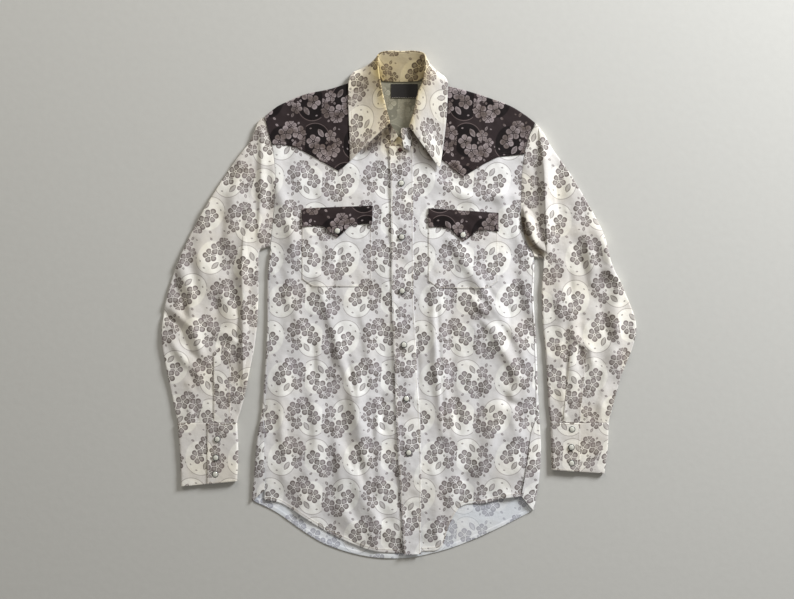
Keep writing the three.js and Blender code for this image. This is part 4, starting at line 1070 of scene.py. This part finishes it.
def collar_leaf_panel():
    """Leaf of the collar, with its turn over the stand, from the fold line out to its points."""
    at = rows_at(COLLAR, spaced(430, 2)[::-1])
    middle = mix(0.075, 1, spaced(78, 2.4))[1:-1]
    v = np.concatenate([[0, 0.02, 0.045, 0.075], middle, [0.985, 0.995, 1]])[None, :]
    x, y = mix(at["fold_x"], at["edge_x"], v), mix(at["fold_y"], at["edge_y"], v)
    z = mix(at["edge_z"], at["fold_z"], (1 - v) ** at["drape"])
    z = np.maximum(z + 0.9 * np.sin(math.pi * v) * rumple(x, y, 34, 40, 41), 0.7)
    from_front = from_sides(x, y, z, "first_row", "last_row")
    z = z + FRONT_LIFT * np.exp(-(from_front / 26) ** 2) * np.sin(math.pi * v) ** 0.6
    out_x, out_y = at["edge_x"] - at["fold_x"], at["edge_y"] - at["fold_y"]
    out = np.hypot(out_x, out_y)
    turn = np.linspace(math.pi * 0.9, 0, 7)[None, :-1]
    bead = [
        x[:, :1] - out_x / out * LEAF_BEAD * np.sin(turn),
        y[:, :1] - out_y / out * LEAF_BEAD * np.sin(turn),
        z[:, :1] - LEAF_BEAD * (1 - np.cos(turn)),
    ]
    x, y, z = np.concatenate([bead, [x, y, z]], axis=2)
    edge = from_sides(x, y, z, "first_row", "last_row", "last_column")
    down = side_distance(x, y, z, "first_column")
    along = side_distance(x[:, 20:21], y[:, 20:21], z[:, 20:21], "last_row")
    return Panel(x, y, z, along, -down, rounded(edge, 0.62))


def collar_stand_panel():
    """Stand of the collar, inside the leaf, from the neck seam up to the fold."""
    at = rows_at(with_ends(RIGHT_STAND_END, COLLAR, LEFT_STAND_END), spaced(330, 2))
    to_centre_x, to_centre_y = NECK_CENTRE[0] - at["fold_x"], NECK_CENTRE[1] - at["fold_y"]
    reach = np.hypot(to_centre_x, to_centre_y)
    top_x = at["fold_x"] + to_centre_x / reach * STAND_TUCK
    top_y = at["fold_y"] + to_centre_y / reach * STAND_TUCK
    v = edge_shares(30, spacing=2)[None, :]
    x, y, z = mix(at["seam_x"], top_x, v), mix(at["seam_y"], top_y, v), mix(at["seam_z"], at["stand_z"], v)
    z = z + 0.4 * np.sin(math.pi * v) * rumple(x, y, 20, 20, 43)
    edge = from_sides(x, y, z, "first_row", "last_row", "last_column")
    along = side_distance(x[:, 5:6], y[:, 5:6], z[:, 5:6], "first_row")
    return Panel(x, y, z, along, side_distance(x, y, z, "first_column"), rounded(edge, 0.5))


# Topstitching and snaps


def inset_path(panel, side, distance, start=0.0, end=1.0):
    """Grid places (i, j) on a line that keeps its distance from one side of a panel."""
    from_side = side_distance(panel.x, panel.y, panel.z, side)
    along_rows = side.endswith("row")
    profiles = from_side.T if along_rows else from_side
    count = len(profiles) - 1
    along = np.linspace(start * count, end * count, 4 * len(profiles))
    order = slice(None, None, -1 if side.startswith("last") else 1)
    place = np.arange(profiles.shape[1])[order]
    depth = np.array([np.interp(distance, profiles[at][order], place) for at in np.round(along).astype(int)])
    return (depth, along) if along_rows else (along, depth)


def stitch_runs(panel, i, j):
    """Ends of the stitches along a path of grid places: two arrays of points on the cloth."""
    points = panel.top(i, j)
    along = np.concatenate([[0], np.cumsum(np.linalg.norm(np.diff(points, axis=0), axis=1))])
    starts = np.arange(STITCH_PITCH / 2, along[-1] - STITCH_LENGTH, STITCH_PITCH)
    place = lambda at: np.stack([np.interp(at, along, points[:, axis]) for axis in range(3)], axis=-1)
    return place(starts), place(starts + STITCH_LENGTH)


def add_stitches(name, lines, thread, slot):
    """One mesh of all the stitches of a piece: small flat-topped bars of thread that dip at their ends."""
    begins, ends = (np.concatenate(part) for part in zip(*(stitch_runs(*line) for line in lines)))
    along = ends - begins
    along /= np.linalg.norm(along, axis=1, keepdims=True)
    side = np.cross(np.array([0.0, 0.0, 1.0]), along)
    side /= np.maximum(np.linalg.norm(side, axis=1, keepdims=True), 1e-9)
    up = np.cross(along, side)
    rings = []
    for share, size in ((0, 0.45), (0.22, 1), (0.78, 1), (1, 0.45)):
        centre = mix(begins, ends, share)
        wide, high = side * STITCH_WIDTH / 2 * size, up * STITCH_HEIGHT * size
        for across, height in ((-1, -0.2), (-0.6, 1), (0.6, 1), (1, -0.2)):
            rings.append(centre + wide * across + high * height)
    vertices = np.stack(rings, axis=1)
    faces = [[r * 4 + a, r * 4 + (a + 1) % 4, r * 4 + 4 + (a + 1) % 4, r * 4 + 4 + a]
             for r in range(3) for a in range(4)]
    faces = np.array(faces + [[3, 2, 1, 0], [12, 13, 14, 15]])
    offsets = np.arange(len(vertices))[:, None, None] * 16
    piece = add_mesh(name, vertices.reshape(-1, 3), (faces + offsets).reshape(-1, 4), [thread])


def lathe(profile, sides=36):
    """Vertices and faces of a turned shape from a profile of (radius, height), closed at both ends."""
    angle = np.arange(sides) * TAU / sides
    rings = [np.stack([r * np.cos(angle), r * np.sin(angle), h + 0 * angle], axis=-1) for r, h in profile]
    step = np.arange(sides)
    after = (step + 1) % sides
    span = np.stack([step, after, after + sides, step + sides], axis=-1)
    return np.concatenate(rings), np.concatenate([span + ring * sides for ring in range(len(profile) - 1)])


# Profile of a snap's rolled metal ring, as shares of its radius and height
RING_PROFILE = [
    (0.8, 0), (0.95, 0.08), (1, 0.3), (0.985, 0.52), (0.93, 0.68), (0.86, 0.72), (0.8, 0.64), (0.78, 0.5),
]
PEARL_RADIUS = 0.79


def snap_mesh(name, radius, height, ring_look, pearl_look):
    """Pearl cap in a rolled metal ring."""
    ring_profile = [(0.02, 0), *((r * radius, h * height) for r, h in RING_PROFILE), (0.02, height * 0.5)]
    pearl = radius * PEARL_RADIUS
    pearl_profile = [(pearl, height * 0.45)] + [
        (pearl * math.cos(turn), height * (0.55 + 0.42 * math.sin(turn)))
        for turn in np.linspace(0, math.pi / 2 - 0.02, 8)
    ]
    ring_points, ring_faces = lathe(ring_profile)
    pearl_points, pearl_faces = lathe(pearl_profile)
    points = np.concatenate([ring_points, pearl_points]) * MM
    faces = np.concatenate([ring_faces, pearl_faces + len(ring_points)])
    kinds = np.repeat([0, 1], [len(ring_faces), len(pearl_faces)])
    return new_mesh(name, points, faces, [ring_look, pearl_look], kinds, sharp=60)


def add_snap(node, mesh, x, y, carrier):
    """A snap sitting on the upper side of the panel that carries it."""
    offset = np.hypot(carrier.x - x, carrier.y - y) + 100 * (carrier.z < 3)
    nearest = np.unravel_index(offset.argmin(), offset.shape)
    point = carrier.points[nearest] + carrier.normals[nearest] * carrier.half[nearest]
    piece = add_object(node + "_cap", mesh)
    piece.location = Vector(to_frame(np.array([x, y, point[2] + 0.05])))
    normal = Vector(carrier.normals[nearest])
    piece.rotation_euler = Vector((0, 0, 1)).rotation_difference(normal).to_euler()
    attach(piece, "root")
    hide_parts(node)


# Formulas made of math nodes


def set_inputs(node, values):
    for name, value in values.items():
        node.inputs[name].default_value = value


class Field:
    """A number that varies over the surface. Its operators add math nodes to the same tree."""

    def __init__(self, tree, socket):
        self.tree = tree
        self.socket = socket

    def node(self, operation, *values):
        made = self.tree.nodes.new("ShaderNodeMath")
        made.operation = operation
        for socket, value in zip(made.inputs, (self, *values)):
            if isinstance(value, Field):
                self.tree.links.new(value.socket, socket)
            else:
                socket.default_value = value
        return Field(self.tree, made.outputs[0])

    def __add__(self, other):
        return self.node("ADD", other)

    def __sub__(self, other):
        return self.node("SUBTRACT", other)

    def __mul__(self, other):
        return self.node("MULTIPLY", other)

    def __rsub__(self, other):
        return self * -1 + other

    def __abs__(self):
        return self.node("ABSOLUTE")

    __radd__ = __add__
    __rmul__ = __mul__

    def wrapped(self, period):
        return self.node("FLOORED_MODULO", period)

    def most(self, other):
        return self.node("MAXIMUM", other)

    def least(self, other):
        return self.node("MINIMUM", other)

    def below(self, edge, soft):
        """1 where this is below the edge, 0 above it, with a soft step between."""
        step = self.tree.nodes.new("ShaderNodeMapRange")
        step.interpolation_type = "SMOOTHSTEP"
        self.tree.links.new(self.socket, step.inputs["Value"])
        set_inputs(step, {"From Min": edge - soft, "From Max": edge + soft, "To Min": 1, "To Max": 0})
        return Field(self.tree, step.outputs["Result"])

    def above(self, edge, soft):
        return 1 - self.below(edge, soft)


def distance(u, v):
    return (u * u + v * v).node("SQRT")


# Floral print: one spray of blossoms, buds and a leaf under an arched line. Every second row of sprays is its
# mirror image, and between them lie sprays turned by half a turn. Sizes are millimetres of cloth.


def noise(tree, coordinates, scale, **settings):
    """A noise texture's value as a field."""
    node = tree.nodes.new("ShaderNodeTexNoise")
    tree.links.new(coordinates, node.inputs["Vector"])
    set_inputs(node, dict(settings, Scale=scale))
    return Field(tree, node.outputs["Fac"])


def attribute(tree, name):
    node = tree.nodes.new("ShaderNodeAttribute")
    node.attribute_name = name
    return Field(tree, node.outputs["Fac"])


def parts_of(tree, coordinates):
    """The first two coordinates, as fields."""
    split = tree.nodes.new("ShaderNodeSeparateXYZ")
    tree.links.new(coordinates, split.inputs[0])
    return Field(tree, split.outputs["X"]), Field(tree, split.outputs["Y"])


REPEAT_WIDTH = 125
ROW_HEIGHT = 65
MIRROR_SHIFT = 26
TURNED_SPRAY = (-30, -46)
SPRAY_MIDDLE = (-1, 8)

# Place, radius and turn of the blossoms, the front ones last; then leaves and seeds, by the place of the
# stalk's end, length, width and direction in degrees
BLOSSOMS = [
    (24, 8, 7.2, 0.5), (13, 19, 9, 0.2), (3, -17, 9.5, 0.6), (-15, 9.5, 11, 0.1), (17, -5.5, 11, 0.45),
    (-5, -5, 11.3, 0.8),
]
LEAVES = [
    (1, 17, 16, 8, 122), (18, 27, 8, 4, 65), (6, 5, 5, 3.4, 80), (9, 9, 4, 3, 20), (32, 1, 5, 3, -10),
    (-22, 31, 4.4, 2.2, 10), (-29, 20, 4, 2, 60), (-17, -16, 6, 3.4, 215), (15, -19, 5, 3.2, -60),
    (36, 21, 4.4, 2.2, 30), (29, 29, 4, 2, 160),
]
ARCH = dict(centre=(-12.5, 16.5), radius=23.5)
PALE_TAIL = 34


def blossom(u, v, x, y, radius, turn):
    """Ink of one open five-petalled blossom, and 1 outside the place that it covers."""
    du, dv = u - x, v - y
    reach = distance(du, dv)
    angle = ((dv.node("ARCTAN2", du) * (5 / TAU) + turn).wrapped(1) - 0.5) * (TAU / 5)
    along, across = reach * angle.node("COSINE") - radius * 0.6, reach * angle.node("SINE")
    from_petal = distance(along * 0.92, across)
    from_gap = reach * (TAU / 10 - abs(angle))
    petals = from_petal.below(radius * 0.43, 0.3) * from_gap.above(0.55, 0.3)
    petals = petals * reach.above(radius * 0.22, 0.4)
    inside = from_petal.below(radius * 0.24, radius * 0.12) * from_gap.above(1.3, 0.4)
    dot = reach.below(radius * 0.09, 0.2)
    return petals * (1 - inside * 0.34) + dot, reach.above(radius * 1.05, 0.35)


def leaf(u, v, x, y, length, width, degrees):
    """Ink of one pointed leaf with a pale rib."""
    cos, sin = math.cos(math.radians(degrees)), math.sin(math.radians(degrees))
    du, dv = u - x, v - y
    along = du * (cos * 2 / length) + dv * (sin * 2 / length) - 1
    across = abs(dv * cos - du * sin)
    from_rim = (1 - along * along) * (width / 2) - across
    return from_rim.above(0, 0.3) * (1 - from_rim.above(1, 0.5) * 0.45) * (1 - across.below(0.3, 0.25) * 0.5)


def print_group():
    """Node group of the print: from cloth coordinates in metres to how much ink, line and pale ground."""
    tree = bpy.data.node_groups.new("floral_print", "ShaderNodeTree")
    tree.interface.new_socket("Vector", in_out="INPUT", socket_type="NodeSocketVector")
    for name in ("Ink", "Line", "Pale"):
        tree.interface.new_socket(name, in_out="OUTPUT", socket_type="NodeSocketFloat")
    given = tree.nodes.new("NodeGroupInput")
    result = tree.nodes.new("NodeGroupOutput")
    u, v = (part * 1000 for part in parts_of(tree, given.outputs[0]))
    middle_u, middle_v = SPRAY_MIDDLE

    def nearest(u, v):
        """Coordinates around the nearest spray of one set of rows, every second of which is mirrored, and the
        distance from its middle."""
        row = (v - middle_v) * (1 / ROW_HEIGHT) + 0.5
        odd = row.node("FLOOR").wrapped(2)
        turned_over = u * (1 - 2 * odd) + odd * MIRROR_SHIFT
        half = REPEAT_WIDTH / 2 - middle_u
        u = (turned_over + half).wrapped(REPEAT_WIDTH) - half
        v = (row.wrapped(1) - 0.5) * ROW_HEIGHT + middle_v
        return u, v, distance(u - middle_u, v - middle_v)

    up_u, up_v, up_far = nearest(u, v)
    down_u, down_v, down_far = nearest(TURNED_SPRAY[0] - u, TURNED_SPRAY[1] - v)
    turned = down_far.node("LESS_THAN", up_far)
    u = up_u + (down_u - up_u) * turned
    v = up_v + (down_v - up_v) * turned

    ink = leaf(u, v, *LEAVES[0])
    for row in LEAVES[1:]:
        ink = ink.most(leaf(u, v, *row))
    for row in BLOSSOMS:
        petals, outside = blossom(u, v, *row)
        ink = (ink * outside).most(petals)
    arch_u, arch_v = u - ARCH["centre"][0], v - ARCH["centre"][1]
    line = abs(distance(arch_u, arch_v) - ARCH["radius"]).below(0.4, 0.25) * arch_v.above(-4, 6)
    tail = arch_v.least(0) * (ARCH["radius"] / PALE_TAIL)
    pale = distance(arch_u, arch_v.most(0) + tail).below(ARCH["radius"] - 1.2, 1.2)
    for name, field in (("Ink", ink), ("Line", line), ("Pale", pale)):
        tree.links.new(field.socket, result.inputs[name])
    return tree


# Materials


def srgb(*colour):
    """Linear colour of an 8-bit screen colour."""
    shares = [part / 255 for part in colour]
    return (*(c / 12.92 if c <= 0.04045 else ((c + 0.055) / 1.055) ** 2.4 for c in shares), 1)


def new_material(name):
    material = bpy.data.materials.new(name)
    material.use_nodes = True
    tree = material.node_tree
    return material, tree, tree.nodes["Principled BSDF"]


def blend_colour(tree, share, low, high, kind="MIX"):
    """Colour that goes from low to high with a field. Colours are sockets or constants."""
    node = tree.nodes.new("ShaderNodeMix")
    node.data_type = "RGBA"
    node.blend_type = kind
    tree.links.new(share.socket, node.inputs["Factor"])
    for name, colour in (("A", low), ("B", high)):
        socket = next(s for s in node.inputs if s.name == name and s.type == "RGBA")
        if isinstance(colour, tuple):
            socket.default_value = colour
        else:
            tree.links.new(colour, socket)
    return next(s for s in node.outputs if s.type == "RGBA")


def add_bump(tree, shader, height, strength, depth):
    bump = tree.nodes.new("ShaderNodeBump")
    set_inputs(bump, {"Strength": strength, "Distance": depth})
    tree.links.new(height.socket, bump.inputs["Height"])
    tree.links.new(bump.outputs[0], shader.inputs["Normal"])


def weave_bump(tree, shader, cloth, wrinkle):
    """Bump of a plain weave with slubs, and of creases finer than the mesh."""
    turns = TAU * THREADS_PER_METRE / 2
    u, v = parts_of(tree, cloth)
    weave = (u * turns).node("SINE") * (v * turns).node("SINE")
    slub = noise(tree, cloth, 420, Detail=2)
    crease = noise(tree, cloth, 75, Detail=3, Roughness=0.55)
    add_bump(tree, shader, weave * 0.06 + slub * 0.22 + crease * wrinkle, 0.5, 0.001)


def cloth_material(name, pattern, ground, pale, ink, ink_dark, line, strength=1.0, wrinkle=1.4, sheen=0.12):
    """Printed cloth: a ground that is paler inside the sprays, two mixed tones of ink, and thin lines."""
    material, tree, shader = new_material(name)
    coordinates = tree.nodes.new("ShaderNodeUVMap")
    coordinates.uv_map = "cloth"
    cloth = coordinates.outputs["UV"]
    drawn = tree.nodes.new("ShaderNodeGroup")
    drawn.node_tree = pattern
    tree.links.new(cloth, drawn.inputs[0])
    part = lambda output: Field(tree, drawn.outputs[output]) * strength
    tone = noise(tree, cloth, 55, Detail=2)
    fine = noise(tree, cloth, 900, Detail=3, Roughness=0.7)
    wash = noise(tree, cloth, 14, Detail=4)
    colour = blend_colour(tree, part("Pale"), srgb(*ground), srgb(*pale))
    inked = blend_colour(tree, tone.above(0.5, 0.14), srgb(*ink), srgb(*ink_dark))
    colour = blend_colour(tree, (part("Ink") * (0.72 + 0.5 * fine)).least(1), colour, inked)
    colour = blend_colour(tree, part("Line") * 0.8, colour, srgb(*line))
    shade = 0.84 + 0.13 * wash + 0.17 * fine
    grey = tree.nodes.new("ShaderNodeCombineXYZ")
    for socket in grey.inputs:
        tree.links.new(shade.socket, socket)
    colour = blend_colour(tree, shade * 0 + 1, colour, grey.outputs[0], "MULTIPLY")
    # Yellowed tint, partly painted shade round the neck, with random yellowed stains
    yellow = attribute(tree, "yellowing") * (0.75 + 0.5 * wash) + wash.above(0.56, 0.14) * 0.14
    colour = blend_colour(tree, yellow.least(1), colour, srgb(*YELLOWED_AND_SHADED), "MULTIPLY")
    # Painted shade: brown multiplied in under the collar leaf's front edges and in the underarm
    colour = blend_colour(tree, attribute(tree, "browning"), colour, srgb(*SHADE_BROWN), "MULTIPLY")
    tree.links.new(colour, shader.inputs["Base Color"])
    set_inputs(shader, {
        "Roughness": 0.82, "Specular IOR Level": 0.25, "Sheen Weight": sheen, "Sheen Roughness": 0.5,
    })
    weave_bump(tree, shader, cloth, wrinkle)
    return material


def plain_material(name, colour, roughness, grain, metallic=0.0, depth=0.0002, variation=0.15, coat=0.0):
    """A surface of one colour with fine uneven grain."""
    material, tree, shader = new_material(name)
    place = tree.nodes.new("ShaderNodeTexCoord").outputs["Object"]
    uneven = noise(tree, place, grain, Detail=3)
    dark, light = (
        (*(min(1, c * (1 + change)) for c in srgb(*colour)[:3]), 1) for change in (-variation, variation)
    )
    tree.links.new(blend_colour(tree, uneven, dark, light), shader.inputs["Base Color"])
    set_inputs(shader, {"Roughness": roughness, "Metallic": metallic, "Coat Weight": coat})
    add_bump(tree, shader, uneven, 0.3, depth)
    return material


# The dressed shirt

# Colours of the looks, as screen colours
CLOTHS = {
    "cream_print": dict(
        ground=(224, 222, 222), pale=(244, 243, 240), ink=(134, 124, 127), ink_dark=(98, 87, 84),
        line=(150, 143, 138),
    ),
    "cream_reverse": dict(
        ground=(226, 230, 235), pale=(238, 240, 243), ink=(160, 160, 174), ink_dark=(146, 146, 158),
        line=(176, 178, 182), strength=0.8,
    ),
    "dark_print": dict(
        ground=(46, 36, 37), pale=(17, 8, 9), ink=(168, 156, 157), ink_dark=(110, 98, 94),
        line=(126, 112, 110), sheen=0.04,
    ),
    "dark_reverse": dict(
        ground=(146, 143, 126), pale=(124, 121, 106), ink=(182, 178, 158), ink_dark=(158, 152, 134),
        line=(170, 166, 148), strength=0.8,
    ),
}
SURFACES = {
    "cream_thread": dict(colour=(214, 204, 186), roughness=0.6, grain=2500),
    "dark_thread": dict(colour=(58, 42, 42), roughness=0.6, grain=2500),
    "label_cloth": dict(colour=(24, 19, 17), roughness=0.55, grain=1400, depth=0.0004),
    "snap_metal": dict(colour=(92, 94, 94), roughness=0.3, grain=900, metallic=0.9),
    "socket_metal": dict(colour=(74, 48, 44), roughness=0.4, grain=600, metallic=0.5),
    "snap_pearl": dict(colour=(214, 213, 202), roughness=0.16, grain=260, coat=0.8),
    "floor": dict(colour=(198, 197, 192), roughness=0.9, grain=90, depth=0.0004, variation=0.03),
}
pattern = print_group()
looks = {name: cloth_material(name, pattern, **values) for name, values in CLOTHS.items()}
looks.update({name: plain_material(name, **values) for name, values in SURFACES.items()})

# Grids of all the pieces of cloth but the label
panels = {
    "back": back_panel(),
    "back_yoke": back_yoke_panel(),
    "front_right": front_panel("right", right_centre, RIGHT_FRONT_HEM, RIGHT_FRONT_TOP),
    "front_left": front_panel("left", left_centre, LEFT_FRONT_HEM, LEFT_FRONT_TOP),
    "front_yoke_right": front_yoke_panel("right", RIGHT_YOKE_EDGE, RIGHT_FRONT_TOP, RIGHT_YOKE_EDGE["x"][-1]),
    "front_yoke_left": front_yoke_panel("left", LEFT_YOKE_EDGE, LEFT_FRONT_TOP, LEFT_YOKE_EDGE["x"][0]),
    "placket": placket_panel(),
    "sleeve_right": sleeve_panel(RIGHT_SLEEVE, "right"),
    "sleeve_left": sleeve_panel(LEFT_SLEEVE, "left"),
    "cuff_right": cuff_panel(RIGHT_CUFF, "right"),
    "cuff_left": cuff_panel(LEFT_CUFF, "left"),
    "collar_fall": collar_leaf_panel(),
    "collar_stand": collar_stand_panel(),
}
for side, flap in FLAPS.items():
    panels[f"pocket_{side}"] = pocket_panel(flap)
    panels[f"pocket_flap_{side}"] = flap_panel(flap)
for side, strip in SLEEVE_PLACKETS.items():
    panels[f"sleeve_placket_{side}"] = sleeve_placket_panel(strip)

# Pieces that lie on two others
LAID_ON = {
    "placket": ["front_right", "front_left"],
    "collar_stand": ["front_right", "front_left"],
    "collar_fall": ["front_yoke_right", "front_yoke_left"],
}


def yellowing_of(name, panel):
    """How much the cloth has yellowed, partly painted shade: most round the neck, where it also stands for
    shade, a little on the sleeves.
    """
    if name == "collar_fall":
        near_fold = np.exp(panel.v / 15)
        # The leaf has yellowed most near its fold; the wearer's right leaf, which lies in shade, carries more
        # as painted shade
        amount = 0.7 * near_fold + mix(0.12, 0.3, ease(-panel.x, 0, 40))
        return np.maximum(amount, 0.8 * near_fold * ease(panel.y, 385, 405))
    if name == "collar_stand":
        # The stand, most at the back of the neck where it lies in shade, is yellowed and partly painted shade
        amount = mix(0.5, 0.85, ease(panel.y, 330, 372)) * ease(5 - panel.x, -9, 3)
        return np.maximum(amount, 0.85 * ease(panel.y, 300, 372))
    if name in ("front_right", "front_left", "placket"):
        # Below the collar's front, where shade falls, the fronts and placket are yellowed and partly painted
        # shade
        return 0.75 * np.exp(-(np.hypot(panel.x + 3, panel.y - 280) / 30) ** 2)
    return SLEEVE_YELLOWING if name.startswith(("sleeve", "cuff")) else None


# Painted shade: brown that fades with the distance from a piece's lines, only where the cloth lies above the
# floor layer
def browning_of(name, panel):
    if name not in PAINTED_SHADE_LINES:
        return None
    lines, spread = PAINTED_SHADE_LINES[name]
    from_line = np.minimum.reduce([segment_distance(panel.x, panel.y, *line) for line in lines])
    return 0.85 * np.exp(-(from_line / spread) ** 2) * (panel.z > BED + 0.8)


def laid_on(name):
    """Pieces of cloth that a piece lies on; none is the floor."""
    side = name.split("_")[-1]
    if name in LAID_ON:
        return LAID_ON[name]
    if name in ("front_right", "front_left"):
        return ["back"]
    if name.startswith("sleeve_placket"):
        return [f"sleeve_{side}"]
    if name.startswith("pocket_flap"):
        return [f"pocket_{side}"]
    return [f"front_{side}"] if name.startswith(("front_yoke", "pocket")) else []


def add_panels():
    for name, panel in panels.items():
        kind = "dark" if "yoke" in name or "flap" in name else "cream"
        face, rear = looks[kind + "_print"], looks[kind + "_reverse"]
        if name in ("back", "back_yoke"):
            face, rear = rear, face
        if name.startswith("collar"):
            rear = face
        cloth = (kind + "_print", face, rear)
        # Yellowed tint and painted shade of each piece, as point attributes
        ageing_and_shade = dict(yellowing=yellowing_of(name, panel), browning=browning_of(name, panel))
        ageing_and_shade = {change: amount for change, amount in ageing_and_shade.items() if amount is not None}
        piece = add_cloth(name + "_cloth", panel, *cloth, [name], **ageing_and_shade)
        width, length, area = panel.flat_size()
        for number, rows in enumerate(FOLDS_OVER.get(name, []), 1):
            fold = fold_over_panel(rows, name.split("_")[-1])
            add_cloth(f"{name}_fold_{number}", fold, *cloth, yellowing=SLEEVE_YELLOWING)
        min(area, width * length)
        [on + "_cloth" for on in laid_on(name)] or ["floor"]


def add_label():
    x, y = region(*(level(edge) for edge in LABEL_EDGES), spaced(23, 1.5), spaced(44, 1.5))
    z = BED + HALF_CLOTH + 0.75 + 0.2 * np.sin(x / 5)
    panel = Panel(x, y, z, x, y, 0.3)
    look = looks["label_cloth"]
    piece = add_cloth("neck_label_cloth", panel, "label_cloth", look, look, ["neck_label"])
    path = inset_path(panel, "first_row", 1)
    add_stitches("stitching_label", [(panel, *path)], looks["cream_thread"], "label_cloth")


def add_snaps():
    cap = snap_mesh("snap_cap", SNAP_RADIUS, SNAP_HEIGHT, looks["snap_metal"], looks["snap_pearl"])
    socket = snap_mesh("snap_socket", *SOCKET_SIZE, looks["socket_metal"], looks["socket_metal"])
    placket = panels["placket"]
    for index in range(FRONT_SNAPS):
        y = FIRST_SNAP_Y - index * SNAP_SPACING
        middle = (placket_edge("free")(y) + placket_edge("stitched")(y)) / 2
        add_snap(f"snap_front_{index + 1}", cap, middle + SNAP_OFF_CENTRE, y, placket)
    add_snap("snap_neck", socket, *NECK_SNAP, placket)
    for side, flap in FLAPS.items():
        add_snap(f"snap_flap_{side}", cap, *flap["snap"], panels[f"pocket_flap_{side}"])
        for index, (x, y) in enumerate(CUFF_SNAPS[side]):
            add_snap(f"snap_cuff_{side}_{index + 1}", cap, x, y, panels[f"cuff_{side}"])


# Rows of stitches of each piece: a side of the panel, the distance from it, and where the row begins and ends
SIDE_SEAMS = {
    "front_yoke": [("first_row", NEAR_EDGE), ("first_row", SECOND_ROW)],
    "pocket": [("first_row", NEAR_EDGE, 0.02, 0.98), ("first_column", NEAR_EDGE), ("last_column", NEAR_EDGE)],
    "pocket_flap": [
        ("first_row", NEAR_EDGE, 0.02, 0.98), ("first_column", NEAR_EDGE), ("last_column", NEAR_EDGE),
        ("last_row", 1.8),
    ],
    "cuff": [("first_row", 2, 0, 0.3), ("last_row", 2, 0, 0.3), ("first_column", 2)],
    "sleeve_placket": [("first_column", 1.8, 0, 0.95), ("last_column", 1.8, 0, 0.95)],
}
MIDDLE_SEAMS = {
    "placket": {"placket": [("first_column", 2.2), ("last_column", 2.2)]},
    "hem": {name: [("first_row", HEM - 1)] for name in ("front_right", "front_left")},
    "collar": {"collar_fall": [
        ("last_column", LEAF_INSET, 0.03, 0.97), ("first_row", LEAF_INSET, 0.2, 0.93),
        ("last_row", LEAF_INSET, 0.2, 0.93),
    ]},
}


def add_all_stitches():
    seams = dict(MIDDLE_SEAMS)
    for side in ("right", "left"):
        for name, rows in SIDE_SEAMS.items():
            seams[f"{name}_{side}"] = {f"{name}_{side}": rows}
    for name, parts in seams.items():
        kind = "dark" if "yoke" in name or "flap" in name else "cream"
        paths = [(panels[on], *inset_path(panels[on], *row)) for on, rows in parts.items() for row in rows]
        add_stitches("stitching_" + name, paths, looks[kind + "_thread"], kind + "_print")


def add_floor():
    size = 5.0
    corners = [(-size, -size, 0), (size, -size, 0), (size, size, 0), (-size, size, 0)]
    add_object("floor", new_mesh("floor", corners, [(0, 1, 2, 3)], [looks["floor"]]))


def add_camera():
    data = bpy.data.cameras.new("camera")
    data.sensor_width = 36
    data.lens = data.sensor_width * (CAMERA_HEIGHT - CLOTH_LEVEL) / VIEW_WIDTH
    camera = add_object("camera", data)
    camera.location = (CAMERA_X * MM, CAMERA_Y * MM, CAMERA_HEIGHT * MM)
    bpy.context.scene.camera = camera


def add_lights():
    """Soft daylight from the photograph's upper right, over an even sky."""
    for name, place, size, power, colour in (
        ("window", (2.15, 2.0, 1.2), 0.8, 138, (0.94, 0.965, 1)),
        ("upper_sky", (-0.9, 2.6, 1.5), 1.6, 26, (1, 0.96, 0.88)),
    ):
        data = bpy.data.lights.new(name, "AREA")
        data.shape = "SQUARE"
        data.size = size
        data.energy = power
        data.color = colour
        light = add_object(name, data)
        light.location = place
        light.rotation_euler = Vector(place).to_track_quat("Z", "Y").to_euler()
    world = bpy.data.worlds.new("sky")
    world.use_nodes = True
    set_inputs(world.node_tree.nodes["Background"], {"Color": (1, 0.96, 0.89, 1), "Strength": 0.25})
    bpy.context.scene.world = world
    bpy.context.scene.view_settings.view_transform = "Standard"


add_camera()
add_floor()
add_panels()
add_label()
add_snaps()
add_all_stitches()
add_lights()
